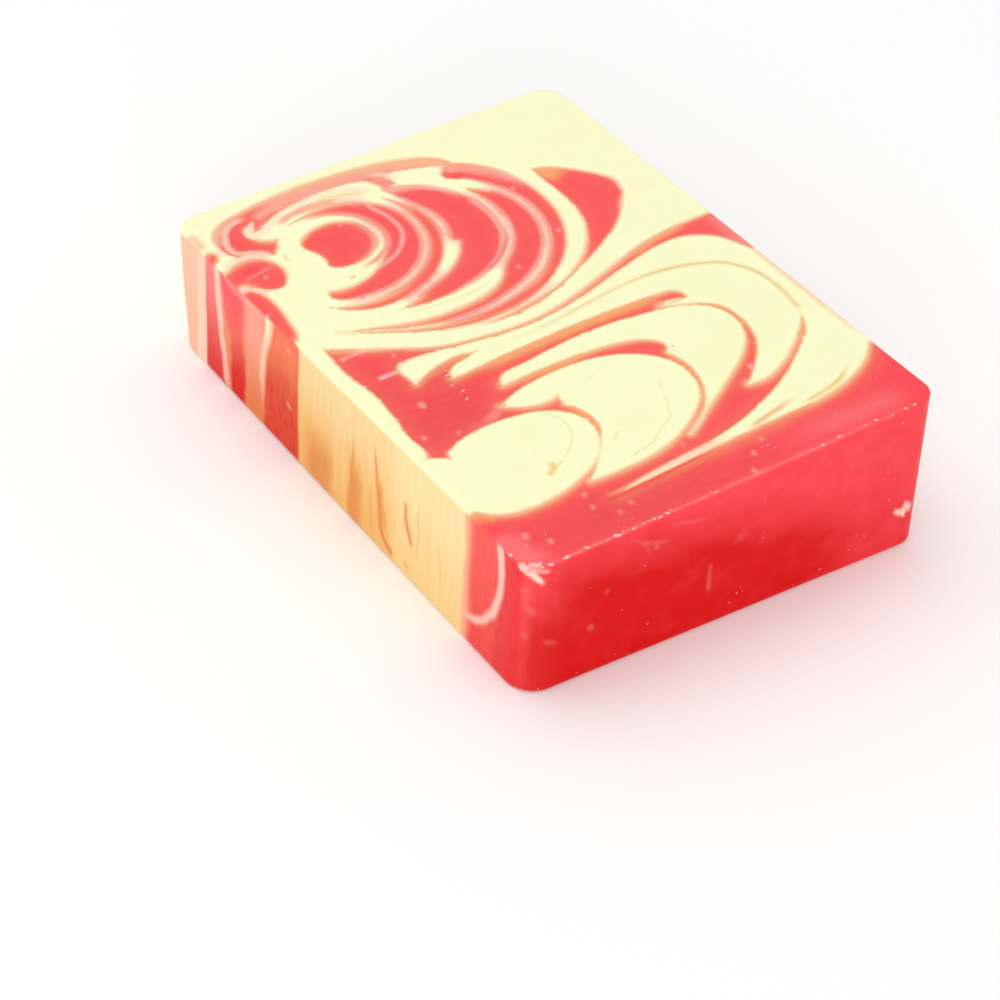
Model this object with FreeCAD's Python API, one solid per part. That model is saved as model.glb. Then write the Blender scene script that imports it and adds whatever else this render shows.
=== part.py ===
import FreeCAD, Part
import os

# A hand-cut bar of two-colour cast soap, in millimetres.
# Clear red soap and opaque cream soap were poured together and set as one bar.
# The swirl runs straight down through the bar, so both colours show on the
# cut top and again as upright stripes on the long front side.
# Frame: +X along the length, +Y across the width, +Z up. The origin is under
# the middle of the bar, on the face that it rests on. The front is the -Y side.

# Bar
length = 90.0
width = 63.2
# the top was cut by hand and slopes: three corners set the plane of the cut,
# and the thickness of the back left corner follows from them
thickness_front_left = 18.8
thickness_front_right = 21.1
thickness_back_right = 24.5
corner_radius_front_left = 3.4
corner_radius_front_right = 4.2
corner_radius_back_right = 2.8
corner_radius_back_left = 3.6
# the front left corner is worn away towards its foot: depth of the wear at the
# foot, and the height at which it starts
corner_wear_depth = 1.7
corner_wear_height = 15.0
# the edges round the foot and the cut top are dulled by handling, the foot more
bottom_edge_bevel = 0.8
top_edge_bevel = 0.3

# Swirl
# the outlines below are drawn in ninetieths of the bar's length and, across it,
# in parts of its width of the same size, so the swirl stretches with the bar
unit_along = length / 90
unit_across = width / 63.2
# how far the tangent arcs of an outline may leave the curve through its points
arc_fit = 0.2
# how far a colour field that leaves the bar is drawn past its sides
swirl_overrun = 20.0

past_right = length / 2 + swirl_overrun
past_front = -width / 2 - swirl_overrun
past_back = width / 2 + swirl_overrun

# larger than the bar in every direction, for blocks that cut or are cut
beyond = length + width
# how near an edge must be to a plane to count as lying in it
touching = 1e-6


def at(x, y):
    """A point of the swirl drawing, on the bar."""
    return FreeCAD.Vector(x * unit_along, y * unit_across, 0)


def past_side(x, side):
    """A point of the drawing that lies outside the bar, level with a named reach."""
    return FreeCAD.Vector(x * unit_along, side, 0)


def smooth_edges(points, closed=False):
    """A line through two points, or a smooth run of tangent arcs through more."""
    if len(points) == 2:
        return [Part.makeLine(points[0], points[1])]
    curve = Part.BSplineCurve()
    curve.interpolate(points, PeriodicFlag=closed)
    return [arc.toShape() for arc in curve.toBiArcs(arc_fit)]


def colour_field(*runs):
    """A flat field of one colour.

    Each run starts at a corner, passes its other points smoothly and ends at
    the next run's corner. A single run closes on itself with no corner.
    """
    if len(runs) == 1:
        return Part.Face(Part.Wire(smooth_edges(runs[0], closed=True)))
    edges = []
    for i, run in enumerate(runs):
        next_corner = runs[(i + 1) % len(runs)][0]
        edges += smooth_edges(run + [next_corner])
    return Part.Face(Part.Wire(edges))


# The right-hand half: a red field that reaches three sides of the bar, and
# the nested cream arches in it, from the outermost to the innermost.

def red_field():
    return colour_field(
        [past_side(-5.2, past_back)],
        [at(-5.2, 28), at(-5.0, 24), at(-4.4, 20), at(-3.3, 16), at(-1.9, 12), at(-0.5, 8),
         at(0.7, 4), at(1.6, 0), at(2.0, -4), at(1.7, -8), at(1.0, -12), at(0.1, -16),
         at(-2.2, -20), at(-5.0, -24.8)],
        [at(-8.1, -29.3), at(-5, -29.3), at(-1, -29.4), at(2.5, -28.8), at(8, -29), at(13, -29.6),
         at(15.5, -29.9), at(17.2, -29.6)],
        [at(19.4, -30.6)],
        [at(31.2, -30.6)],
        [past_side(31.2, past_front)],
        [FreeCAD.Vector(past_right, past_front, 0)],
        [FreeCAD.Vector(past_right, past_back, 0)],
    )


def outer_arch():
    """Two cream layers with a red tongue between them on the right."""
    return colour_field(
        [at(0.3, -22.4), at(0.4, -19.5), at(1.2, -15), at(2.2, -10), at(2.8, -4), at(2.5, 0),
         at(1.5, 5), at(0.2, 10), at(-1.2, 15), at(-2.4, 20), at(-2.5, 24), at(-1, 27.3),
         at(2, 29.7), at(6, 31)],
        [past_side(10, past_back)],
        [past_side(27, past_back)],
        [at(30.3, 31.2), at(32.6, 29.2), at(34.7, 26), at(36.3, 22), at(37.1, 17), at(37.2, 10),
         at(37.5, 3), at(38.0, -5)],
        [at(38.5, -14.4), at(37.5, -9), at(36.9, -3), at(36.0, 3.5), at(34.6, 9), at(32.6, 13.8),
         at(30.0, 18.6), at(27, 22.7), at(24, 25.9)],
        [at(20.3, 27.6), at(23.4, 25.2), at(26, 22), at(28.2, 18.8), at(29.5, 15.6)],
        [at(29.5, 12.6), at(26.6, 15.8), at(23, 18.7), at(19.5, 20.2), at(16, 20.4), at(13, 19.5),
         at(11, 17.1)],
        [at(9.1, 12.9), at(9.4, 15.2)],
        [at(9.5, 17.3), at(7.9, 17.2), at(6.8, 15.3), at(6.2, 10), at(6.0, 4), at(6.2, -4),
         at(6.5, -12)],
        [at(7.0, -18.4), at(5.3, -17.7), at(4.3, -15.5)],
        [at(3.7, -12.4), at(3.2, -15.5), at(3.7, -19.2)],
        [at(5.5, -23.2), at(3, -23.4), at(1.2, -23.2)],
    )


def middle_arch():
    return colour_field(
        [at(11.9, -13.9), at(10.6, -13.4), at(9.6, -10), at(8.9, -5), at(8.5, 1), at(8.8, 7),
         at(10, 13), at(12, 17.4), at(15, 19.4), at(18.5, 19.2), at(22, 17.4), at(25, 13.9),
         at(28, 9), at(31, 4.4)],
        [at(33.7, 0.2), at(31.3, 3.6), at(28.6, 6.4), at(25.4, 8.1), at(22, 8.6)],
        [at(17.9, 7.7), at(16.6, 8.8), at(14.8, 8.3), at(13.2, 5.8), at(12.2, 2.4), at(11.7, -3),
         at(11.6, -8)],
    )


def inner_arch():
    return colour_field(
        [at(15.4, -16.7), at(14.2, -13.8), at(13.2, -9.8), at(13.2, -4), at(14.1, 0.8),
         at(16.3, 4.4), at(19.2, 6.7), at(22.5, 7.5), at(26, 6.8), at(29.4, 4.3), at(32, 0.6),
         at(33.8, -3.6), at(34.6, -9)],
        [at(34.4, -15.5), at(32.4, -13), at(30, -10.6), at(27, -8.6), at(23.6, -8.0)],
        [at(19.6, -9.5), at(18.6, -9.3)],
        [at(17.2, -8.9), at(17.9, -11.6), at(16.9, -14.6)],
    )


def heart():
    """The innermost lobe, which runs out to the front side."""
    return colour_field(
        [at(19.3, -30.7), at(19.9, -28.9)],
        [at(21.7, -27.5)],
        [at(19.7, -27.2), at(18.4, -24.2), at(17.9, -20), at(18.4, -15.2), at(20, -11.4),
         at(23, -9.3), at(26.4, -9.3), at(29.6, -11), at(32.2, -14.3), at(34, -19),
         at(34.6, -23.6), at(33.8, -27.8)],
        [at(31.2, -30.7)],
        [past_side(31.2, past_front)],
        [past_side(19.3, past_front)],
    )


# The left-hand half: red crescents nested like an onion in the cream.

def petal():
    return colour_field(
        [at(-27.8, 16.9), at(-26.6, 19.6), at(-23, 23), at(-18.8, 25.1), at(-14.4, 23.1),
         at(-10, 19.2), at(-6.3, 13.2), at(-3.6, 8), at(-1.5, 2.4), at(-0.3, -3.5)],
        [at(-0.5, -9), at(-1.2, -2.5), at(-2.9, 4.4), at(-5.8, 10), at(-10, 14), at(-15, 16.3),
         at(-21, 16.8)],
    )


def outer_ring():
    return colour_field(
        [at(-9, -24.4), at(-5.6, -19.3), at(-3, -14), at(-1.4, -8.5), at(-1.8, -2.5), at(-4, 3.9),
         at(-7.8, 9), at(-13, 12.7), at(-19.5, 14.5), at(-26.5, 14.1), at(-31.8, 12)],
        [at(-35.3, 8.6), at(-35.3, 6.8), at(-34.2, 5.6)],
        [at(-31.2, 7.6), at(-28, 9.9), at(-24, 11.4), at(-19, 11.9), at(-13.5, 10.5),
         at(-8.8, 7.1), at(-5.4, 2.4), at(-3.5, -3.6), at(-3.2, -10), at(-5.2, -17)],
    )


def second_crescent():
    return colour_field(
        [at(-29.2, 6.5), at(-26.5, 9.3), at(-22, 10.8), at(-16.5, 10.4), at(-11.3, 7.8),
         at(-7.4, 3.6), at(-5, -1.5), at(-3.8, -7.5), at(-4.3, -13.6), at(-6.6, -19.4)],
        [at(-9.6, -24.8), at(-7.6, -19.4), at(-6, -14), at(-5.8, -8.6), at(-6.9, -3.4)],
        [at(-8.9, -0.2), at(-10.4, 0.9), at(-13.4, 4.1), at(-17.8, 6.7), at(-23, 7.5)],
    )


def third_crescent():
    return colour_field(
        [at(-35.6, -3.4), at(-34.3, 0.4), at(-31.4, 4), at(-27.4, 6), at(-22.4, 6.4),
         at(-17, 5), at(-12.6, 1.8), at(-9.9, -3), at(-8.8, -9.5)],
        [at(-9.6, -16.1), at(-11.1, -11.3), at(-13.2, -6.3), at(-15.9, -3)],
        [at(-18.9, -1), at(-19.6, -1.7)],
        [at(-20.4, -1.5), at(-25.5, -0.4), at(-31, -1.7)],
    )


def fourth_crescent():
    return colour_field(
        [at(-33.6, -4.4), at(-29.8, -2.2), at(-25, -1.6), at(-19.6, -3.1), at(-15.4, -6.2),
         at(-12.7, -11), at(-11.6, -16), at(-12.7, -20.6)],
        [at(-15.5, -23.9), at(-14.1, -20.6), at(-13.7, -16), at(-14.9, -11), at(-18, -6.6),
         at(-22.4, -3.9), at(-27.4, -3.1)],
    )


def inner_ring():
    return colour_field(
        [at(-35, -18.9), at(-36.3, -14), at(-35.5, -8.8), at(-32.6, -5.5), at(-27, -4),
         at(-21.6, -5.3), at(-17.4, -8.8), at(-15, -14), at(-15, -18.6), at(-16.3, -21.9),
         at(-18, -22.3)],
        [at(-18.7, -21.8), at(-18, -19.3), at(-18.6, -15.6), at(-20.4, -12.8), at(-23.4, -9.8),
         at(-27.4, -8.4), at(-31.6, -9.4), at(-34.3, -12.4)],
    )


def core():
    return colour_field(
        [at(-32.7, -14), at(-30.9, -10.9), at(-27.5, -10), at(-24, -11.6), at(-22.1, -15.8),
         at(-23.4, -18.9), at(-26.2, -18.3), at(-29.2, -19.6), at(-31.9, -17.7)],
    )


def left_band():
    """The band that wraps the onion on the left and folds back under it."""
    return colour_field(
        [at(-35, 8.4), at(-37, 7.6), at(-39.4, 3.2), at(-41.2, -3.4), at(-42.1, -11.4),
         at(-41.9, -21), at(-39.9, -27), at(-36, -29.1)],
        [at(-32.3, -28.2), at(-31.8, -26)],
        [at(-30, -23.5), at(-31.5, -22.3)],
        [at(-33.3, -21.2), at(-34.1, -23.6), at(-35.4, -24.8), at(-37.4, -24)],
        [at(-38.6, -22.4)],
        [at(-36, -23.5), at(-38.2, -19), at(-39.4, -13), at(-39, -6), at(-37.2, -3.2)],
        [at(-35.2, -2.8), at(-35.8, -1.2)],
        [at(-38.9, -1.5), at(-37.3, 3.4)],
    )


def oval():
    return colour_field(
        [at(-31.5, -27.8), at(-30.3, -25.3), at(-26.8, -24.2), at(-23.7, -25.3), at(-23, -27.6),
         at(-24.8, -29.7), at(-27, -32), at(-30.4, -31)],
    )


def front_band():
    """The band along the front edge, which colours a stretch of the side."""
    return colour_field(
        [at(-25.6, -30.1), at(-19, -29.2), at(-14, -30.1), at(-11.4, -31)],
        [at(-10.4, -32)],
        [past_side(-10.4, past_front)],
        [past_side(-25.6, past_front)],
    )


def front_spot():
    return colour_field(
        [at(-35.8, -30.7), at(-34.2, -30.1), at(-32.8, -30.9)],
        [at(-32, -32)],
        [past_side(-32, past_front)],
        [past_side(-35.8, past_front)],
    )


red_over_cream = [red_field, petal, outer_ring, second_crescent, third_crescent,
                  fourth_crescent, inner_ring, core, left_band, oval, front_band, front_spot]
cream_over_red = [outer_arch, middle_arch, inner_arch, heart]


def corner_arc(corner, radius, start, end):
    """The rounded corner of the outline, from the side of start to that of end."""
    middle = (corner + (start + end) * radius) - (start + end).normalize() * radius
    return Part.Arc(corner + start * radius, middle, corner + end * radius).toShape()


def bar_outline():
    """The rounded rectangle of the bar, seen from above, from the front left."""
    x = length / 2
    y = width / 2
    right = FreeCAD.Vector(1, 0, 0)
    back = FreeCAD.Vector(0, 1, 0)
    left = right * -1
    front = back * -1
    corners = [
        (FreeCAD.Vector(-x, -y, 0), corner_radius_front_left, back, right),
        (FreeCAD.Vector(x, -y, 0), corner_radius_front_right, left, back),
        (FreeCAD.Vector(x, y, 0), corner_radius_back_right, front, left),
        (FreeCAD.Vector(-x, y, 0), corner_radius_back_left, right, front),
    ]
    arcs = [corner_arc(*corner) for corner in corners]
    edges = []
    for i, arc in enumerate(arcs):
        following = arcs[(i + 1) % len(arcs)]
        edges.append(arc)
        edges.append(Part.makeLine(arc.Vertexes[-1].Point, following.Vertexes[0].Point))
    return Part.Wire(edges)


def top_height(x, y):
    """Height of the sloping cut face above a point of the plan."""
    along = (x + length / 2) / length
    across = (y + width / 2) / width
    rise_along = thickness_front_right - thickness_front_left
    rise_across = thickness_back_right - thickness_front_right
    return thickness_front_left + rise_along * along + rise_across * across


def above_cut():
    """Everything above the cut face, to take away from the block."""
    corners = [(-beyond, -beyond), (beyond, -beyond), (beyond, beyond), (-beyond, beyond)]
    points = [FreeCAD.Vector(x, y, top_height(x, y)) for x, y in corners]
    cut_face = Part.Face(Part.makePolygon(points + points[:1]))
    return cut_face.extrude(FreeCAD.Vector(0, 0, 2 * beyond))


def worn_off():
    """What is worn off the front left corner: all that lies outside a leaning plane."""
    outwards = FreeCAD.Vector(-1, -1, 0).normalize()
    along = FreeCAD.Vector(1, -1, 0).normalize()
    up = FreeCAD.Vector(0, 0, 1)
    radius = corner_radius_front_left
    centre = FreeCAD.Vector(radius - length / 2, radius - width / 2, 0)
    at_foot = centre + outwards * (radius - corner_wear_depth)
    lean = (outwards * corner_wear_depth + up * corner_wear_height).normalize()
    side = outwards * beyond
    start = at_foot - lean * beyond - along * beyond
    end = at_foot + lean * beyond - along * beyond
    profile = Part.Face(Part.makePolygon([start, end, end + side, start + side, start]))
    return profile.extrude(along * 2 * beyond)


def bar():
    """The whole bar, before it is parted into its two soaps."""
    block = Part.Face(bar_outline()).extrude(FreeCAD.Vector(0, 0, beyond)).cut(worn_off())
    bottom_edges = [e for e in block.Edges if e.BoundBox.ZMax < touching]
    block = block.makeChamfer(bottom_edge_bevel, bottom_edges)
    block = block.cut(above_cut())
    rim = [e for e in block.Edges
           if all(abs(v.Z - top_height(v.X, v.Y)) < touching for v in e.Vertexes)]
    return block.makeChamfer(top_edge_bevel, rim)


def cream_plan():
    """All cream fields of the swirl, as flat faces under the bar."""
    plan = Part.makePlane(2 * beyond, 2 * beyond, FreeCAD.Vector(-beyond, -beyond, 0))
    plan = plan.cut([field() for field in red_over_cream])
    return plan.fuse([field() for field in cream_over_red]).removeSplitter()


whole = bar()
through = FreeCAD.Vector(0, 0, beyond)
cream_prisms = [face.extrude(through) for face in cream_plan().Faces]
cream_soap = whole.common(Part.makeCompound(cream_prisms))
red_soap = whole.cut(cream_prisms)

os.makedirs("parts", exist_ok=True)
cream_soap.exportStep("parts/cream_soap.step")
red_soap.exportStep("parts/red_soap.step")

for name, shape in (("whole", whole), ("cream_soap", cream_soap), ("red_soap", red_soap)):
    print(name, "solids", len(shape.Solids), "volume", round(shape.Volume, 1), "valid", shape.isValid())
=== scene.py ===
"""A bar of hand-cut cast soap: clear red soap swirled through opaque cream soap.

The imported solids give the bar's size, the slope of its cut top and the
outlines of the swirl. This script draws the colours of each face on flat
sheets, in millimetres, and reads them onto one closed mesh of the bar.
"""
import math

import bpy
import numpy as np
from bpy.props import FloatProperty, FloatVectorProperty, IntProperty, PointerProperty
from bpy.types import Operator, Panel, PropertyGroup
from mathutils import Matrix, Vector, geometry


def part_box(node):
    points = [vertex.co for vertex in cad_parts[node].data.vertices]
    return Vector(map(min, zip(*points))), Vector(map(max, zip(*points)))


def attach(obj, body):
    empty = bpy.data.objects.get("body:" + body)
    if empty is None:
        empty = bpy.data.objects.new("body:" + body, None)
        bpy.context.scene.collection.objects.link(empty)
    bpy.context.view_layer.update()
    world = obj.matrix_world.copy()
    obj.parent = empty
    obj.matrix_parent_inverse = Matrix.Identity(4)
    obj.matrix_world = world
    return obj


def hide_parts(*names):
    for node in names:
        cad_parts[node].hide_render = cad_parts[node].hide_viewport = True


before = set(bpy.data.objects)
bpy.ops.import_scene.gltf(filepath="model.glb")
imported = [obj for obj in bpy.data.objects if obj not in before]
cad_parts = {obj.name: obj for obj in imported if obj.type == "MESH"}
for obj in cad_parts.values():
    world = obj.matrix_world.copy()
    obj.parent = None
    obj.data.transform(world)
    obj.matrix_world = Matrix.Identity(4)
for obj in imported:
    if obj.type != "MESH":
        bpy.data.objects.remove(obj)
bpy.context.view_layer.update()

bl_info = {
    "name": "Marbled Soap Bar",
    "version": (1, 0, 0),
    "blender": (4, 5, 0),
    "location": "View3D > Sidebar > Soap",
    "description": "Builds a hand-cut bar of red and cream cast soap",
    "category": "Add Mesh",
}

MM = 0.001
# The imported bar's box, and its four sides in millimetres: it is centred on the origin.
SOAPS = [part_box(name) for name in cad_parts]
CAD_LOW = Vector([min(low[i] for low, high in SOAPS) for i in range(3)])
CAD_HIGH = Vector([max(high[i] for low, high in SOAPS) for i in range(3)])
RIGHT = CAD_HIGH.x / MM
BACK = CAD_HIGH.y / MM
LEFT = -RIGHT
FRONT = -BACK
# What a drawing holds at each point, from 0 to 1: how thick the red soap is, how much
# amber and tan stain lies there, how deep the red looks, and how milky it is. In places the
# amber also holds painted warm reflected light and shade, the depth painted shade, and the
# milkiness a painted pinkish reflection.
LAYERS = ("dye", "amber", "tan", "depth", "veil")
# Spacing of the points of the drawings, and how high those of the sides reach.
TOP_STEP = 0.125
SIDE_STEP = 0.2
SHEET_TOP = 26


# Colour

def linear(hex_colour):
    """A linear colour from an sRGB hex value."""
    parts = [int(hex_colour[i:i + 2], 16) / 255 for i in (1, 3, 5)]
    return tuple(c / 12.92 if c <= 0.04045 else ((c + 0.055) / 1.055) ** 2.4 for c in parts)


# Settings

def length(name, value, low, text):
    """A setting in millimetres."""
    return FloatProperty(name=name, default=value, min=low, description=text + ", in millimetres")


def tint(name, hex_colour, text):
    """A setting that is a colour."""
    return FloatVectorProperty(name=name, subtype="COLOR", size=3, min=0, max=1,
                               default=linear(hex_colour), description=text)


class SoapShape(PropertyGroup):
    """Sizes of the visible bar, in millimetres."""

    skin: length("Skin", 0.06, 0.0, "How far the visible surface lies inside the solids")
    edge_round: length("Cut edge", 0.35, 0.05, "Rounding of the edge round the cut top")
    foot_round: length("Lower edge", 0.75, 0.05, "Rounding of the edge that the bar rests on")
    unevenness: length("Unevenness", 0.09, 0.0, "Depth of the waves that casting and cutting left")
    corner_front_left: length("Front left corner", 3.4, 1.0, "Radius of the upright corner")
    corner_front_right: length("Front right corner", 4.2, 1.0, "Radius of the upright corner")
    corner_back_right: length("Back right corner", 2.8, 1.0, "Radius of the upright corner")
    corner_back_left: length("Back left corner", 3.6, 1.0, "Radius of the upright corner")
    wear_depth: length("Corner wear", 1.7, 0.0,
                       "How much is worn off the foot of the front left corner")
    wear_height: length("Wear height", 15.0, 1.0,
                        "Height at which the wear of the front left corner starts")
    wear_round: length("Wear rounding", 0.9, 0.05,
                       "How softly the worn patch runs into the sides")


class SoapColours(PropertyGroup):
    """Colours of the two soaps and of what the pour made of them. The deep red and the amber also
    paint shade and warm reflected light.
    """

    cream: tint("Cream soap", "#FFFECC", "Opaque cream soap")
    peach: tint("Thin red", "#FAC094", "Red soap thinned out to a film over cream")
    coral: tint("Half red", "#F98066", "Red soap about a millimetre deep")
    red: tint("Red soap", "#FE4E58", "Red soap in a thick layer")
    # deep red of thick soap, also used as painted shade low down and towards the front
    deep_and_shade: tint("Deep red", "#D60202", "Red soap seen a long way through")
    milk: tint("Milky film", "#FFD6CC", "Cream soap smeared thinly over red")
    # amber stain, also used as painted warm reflected light and shade on the sides
    amber: tint("Amber cream", "#F6B961", "Cream soap that the red has stained")
    tan: tint("Tan trace", "#C99E52", "Thin brownish line where the two soaps met")


class SoapDetail(PropertyGroup):
    """Small pieces on the bar: bubbles in the red soap, and crumbs on its edges."""

    fleck_density: FloatProperty(name="Flecks", default=0.022, min=0.0,
                                 description="Bubbles on each square millimetre of red soap")
    fleck_small: length("Smallest fleck", 0.05, 0.01, "Radius of the smallest bubble")
    fleck_large: length("Largest fleck", 0.17, 0.01, "Radius of the largest bubble")
    crumb_count: IntProperty(name="Crumbs", default=95, min=2,
                             description="Crumbs along the right top edge")
    crumb_small: length("Smallest crumb", 0.05, 0.01, "Radius of the smallest crumb")
    crumb_large: length("Largest crumb", 0.24, 0.01, "Radius of the largest crumb")
    seed: IntProperty(name="Seed", default=7, min=0,
                      description="Number that the chance places come from")


class SoapStage(PropertyGroup):
    """Floor, lamps and sky."""

    floor: tint("Floor", "#FDFDFD", "Plain pale floor")
    key: FloatProperty(name="Main lamp", default=1.55, min=0.0,
                       description="Power of the large lamp above the bar, in watts")
    fill: FloatProperty(name="Fill lamp", default=3.1, min=0.0,
                        description="Power of the lamp by the front right corner, in watts")
    sky: FloatProperty(name="Sky", default=0.76, min=0.0,
                       description="Strength of the even light from all round")


# Flat drawing sheets

def ramp(value, low, high):
    """0 below low and 1 above high, with a soft step between."""
    t = np.clip((value - low) / (high - low), 0, 1)
    return t * t * (3 - 2 * t)


def blend(field, i, j, s, t):
    """A field between its points: i and j are pairs of rows and columns, and s and t
    how far along from the first to the second."""
    near = field[i[0], j[0]] * (1 - s) + field[i[1], j[0]] * s
    far = field[i[0], j[1]] * (1 - s) + field[i[1], j[1]] * s
    return near * (1 - t) + far * t


def waves(x, y, size, seed):
    """Smooth noise between -1 and 1 whose bumps are about size apart."""
    cells = 64
    shift = 20
    table = np.random.default_rng(seed).uniform(-1, 1, (cells, cells))
    u = np.asarray(x) / size + shift
    v = np.asarray(y) / size + shift
    i = np.floor(u).astype(int)
    j = np.floor(v).astype(int)
    rows = (i % cells, (i + 1) % cells)
    columns = (j % cells, (j + 1) % cells)
    return blend(table, rows, columns, ramp(u - i, 0, 1), ramp(v - j, 0, 1))


def blur(field, reach):
    """A field averaged over a square that reaches so many points each way."""
    size = 2 * reach + 1
    for axis in (0, 1):
        pad = [(0, 0), (0, 0)]
        pad[axis] = (reach + 1, reach)
        total = np.moveaxis(np.cumsum(np.pad(field, pad, "edge"), axis=axis), axis, 0)
        field = np.moveaxis((total[size:] - total[:-size]) / size, 0, axis)
    return field


def spread(field, reach):
    """The highest value of a field within so many points."""
    for axis in (0, 1):
        for _ in range(reach):
            field = np.maximum(field, np.maximum(np.roll(field, 1, axis), np.roll(field, -1, axis)))
    return field


def smooth_line(points, pieces=8):
    """A smooth line through given points, as many short straight ones."""
    p = np.array(points, float)
    if len(p) < 3:
        return p
    p = np.vstack([2 * p[0] - p[1], p, 2 * p[-1] - p[-2]])
    t = np.linspace(0, 1, pieces, endpoint=False)[:, None]
    run = []
    for a, b, c, d in zip(p, p[1:], p[2:], p[3:]):
        run.append(0.5 * (2 * b + (c - a) * t + (2 * a - 5 * b + 4 * c - d) * t ** 2
                          + (3 * b - a - 3 * c + d) * t ** 3))
    return np.vstack(run + [p[-2:-1]])


class Sheet:
    """A flat drawing of one face of the bar: how much of each colour lies where."""

    def __init__(self, low, high, step):
        self.low = np.array(low, float)
        self.step = step
        count = np.ceil((np.array(high) - self.low) / step).astype(int) + 1
        self.u = (self.low[0] + np.arange(count[0]) * step)[:, None]
        self.v = (self.low[1] + np.arange(count[1]) * step)[None, :]
        self.shape = tuple(count)
        self.layers = {name: np.zeros(self.shape) for name in LAYERS}
        self.red = np.zeros(self.shape)

    def window(self, low, high):
        """The part of the sheet between two corners, as slices."""
        first = np.floor((np.array(low) - self.low) / self.step).astype(int)
        last = np.ceil((np.array(high) - self.low) / self.step).astype(int) + 1
        first = np.clip(first, 0, self.shape)
        last = np.clip(last, 0, self.shape)
        return slice(first[0], last[0]), slice(first[1], last[1])

    def read(self, field, u, v):
        """A field at any points, between the sheet's own points."""
        a = np.clip((np.asarray(u) - self.low[0]) / self.step, 0, self.shape[0] - 1.001)
        b = np.clip((np.asarray(v) - self.low[1]) / self.step, 0, self.shape[1] - 1.001)
        i = a.astype(int)
        j = b.astype(int)
        return blend(field, (i, i + 1), (j, j + 1), a - i, b - j)

    def lay(self, cover, place=(slice(None), slice(None)), **amounts):
        """Brings the named layers to the given amounts, as far as cover says."""
        for name, amount in amounts.items():
            layer = self.layers[name]
            layer[place] += cover * (amount - layer[place])

    def wash(self, left, right, soft, **amounts):
        """A field of colour between two upright borders, given as (x, height) points.
        An amount may be a pair: at the foot, and at the top."""
        v = self.v[0]
        borders = []
        for border in (left, right):
            line = np.array(sorted(border, key=lambda point: point[1]), float)
            borders.append(np.interp(v, line[:, 1], line[:, 0])[None, :])
        cover = ramp(self.u, borders[0] - soft, borders[0] + soft)
        cover = cover * (1 - ramp(self.u, borders[1] - soft, borders[1] + soft))
        rise = ramp(self.v, 1, 19)
        for name, amount in amounts.items():
            if isinstance(amount, tuple):
                amount = amount[0] + (amount[1] - amount[0]) * rise
            self.layers[name] += cover * (amount - self.layers[name])

    def stroke(self, brush, strength, width, fade, points):
        """A brush line. width is one number, or one for each end; fade is how much
        of the line, from each end, the brush takes to come on and to lift."""
        over, soft, amounts = BRUSHES[brush]
        line = smooth_line(points)
        first, last = (width, width) if np.isscalar(width) else width
        reach = max(first, last) / 2 + soft
        place = self.window(line.min(0) - reach, line.max(0) + reach)
        u = self.u[place[0]]
        v = self.v[:, place[1]]
        run = np.concatenate([[0], np.cumsum(np.hypot(*np.diff(line, axis=0).T))])
        best = np.full((u.shape[0], v.shape[1]), 1e9)
        along = np.zeros_like(best)
        for k in range(len(line) - 1):
            a = line[k]
            d = line[k + 1] - a
            t = np.clip(((u - a[0]) * d[0] + (v - a[1]) * d[1]) / max(d @ d, 1e-12), 0, 1)
            away = np.hypot(u - a[0] - t * d[0], v - a[1] - t * d[1])
            closer = away < best
            best = np.where(closer, away, best)
            along = np.where(closer, (run[k] + t * (run[k + 1] - run[k])) / run[-1], along)
        # no line that a pour leaves is evenly wide
        half = (first + (last - first) * along) / 2 * (1 + 0.16 * waves(u, v, 1.3, 5))
        cover = strength * (1 - ramp(best, half - soft, half + soft))
        if fade[0]:
            cover *= ramp(along, 0, fade[0])
        if fade[1]:
            cover *= ramp(1 - along, 0, fade[1])
        if over == "red":
            cover *= self.red[place]
        if over == "cream":
            cover *= 1 - self.red[place]
        self.lay(cover, place, **amounts)


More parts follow.
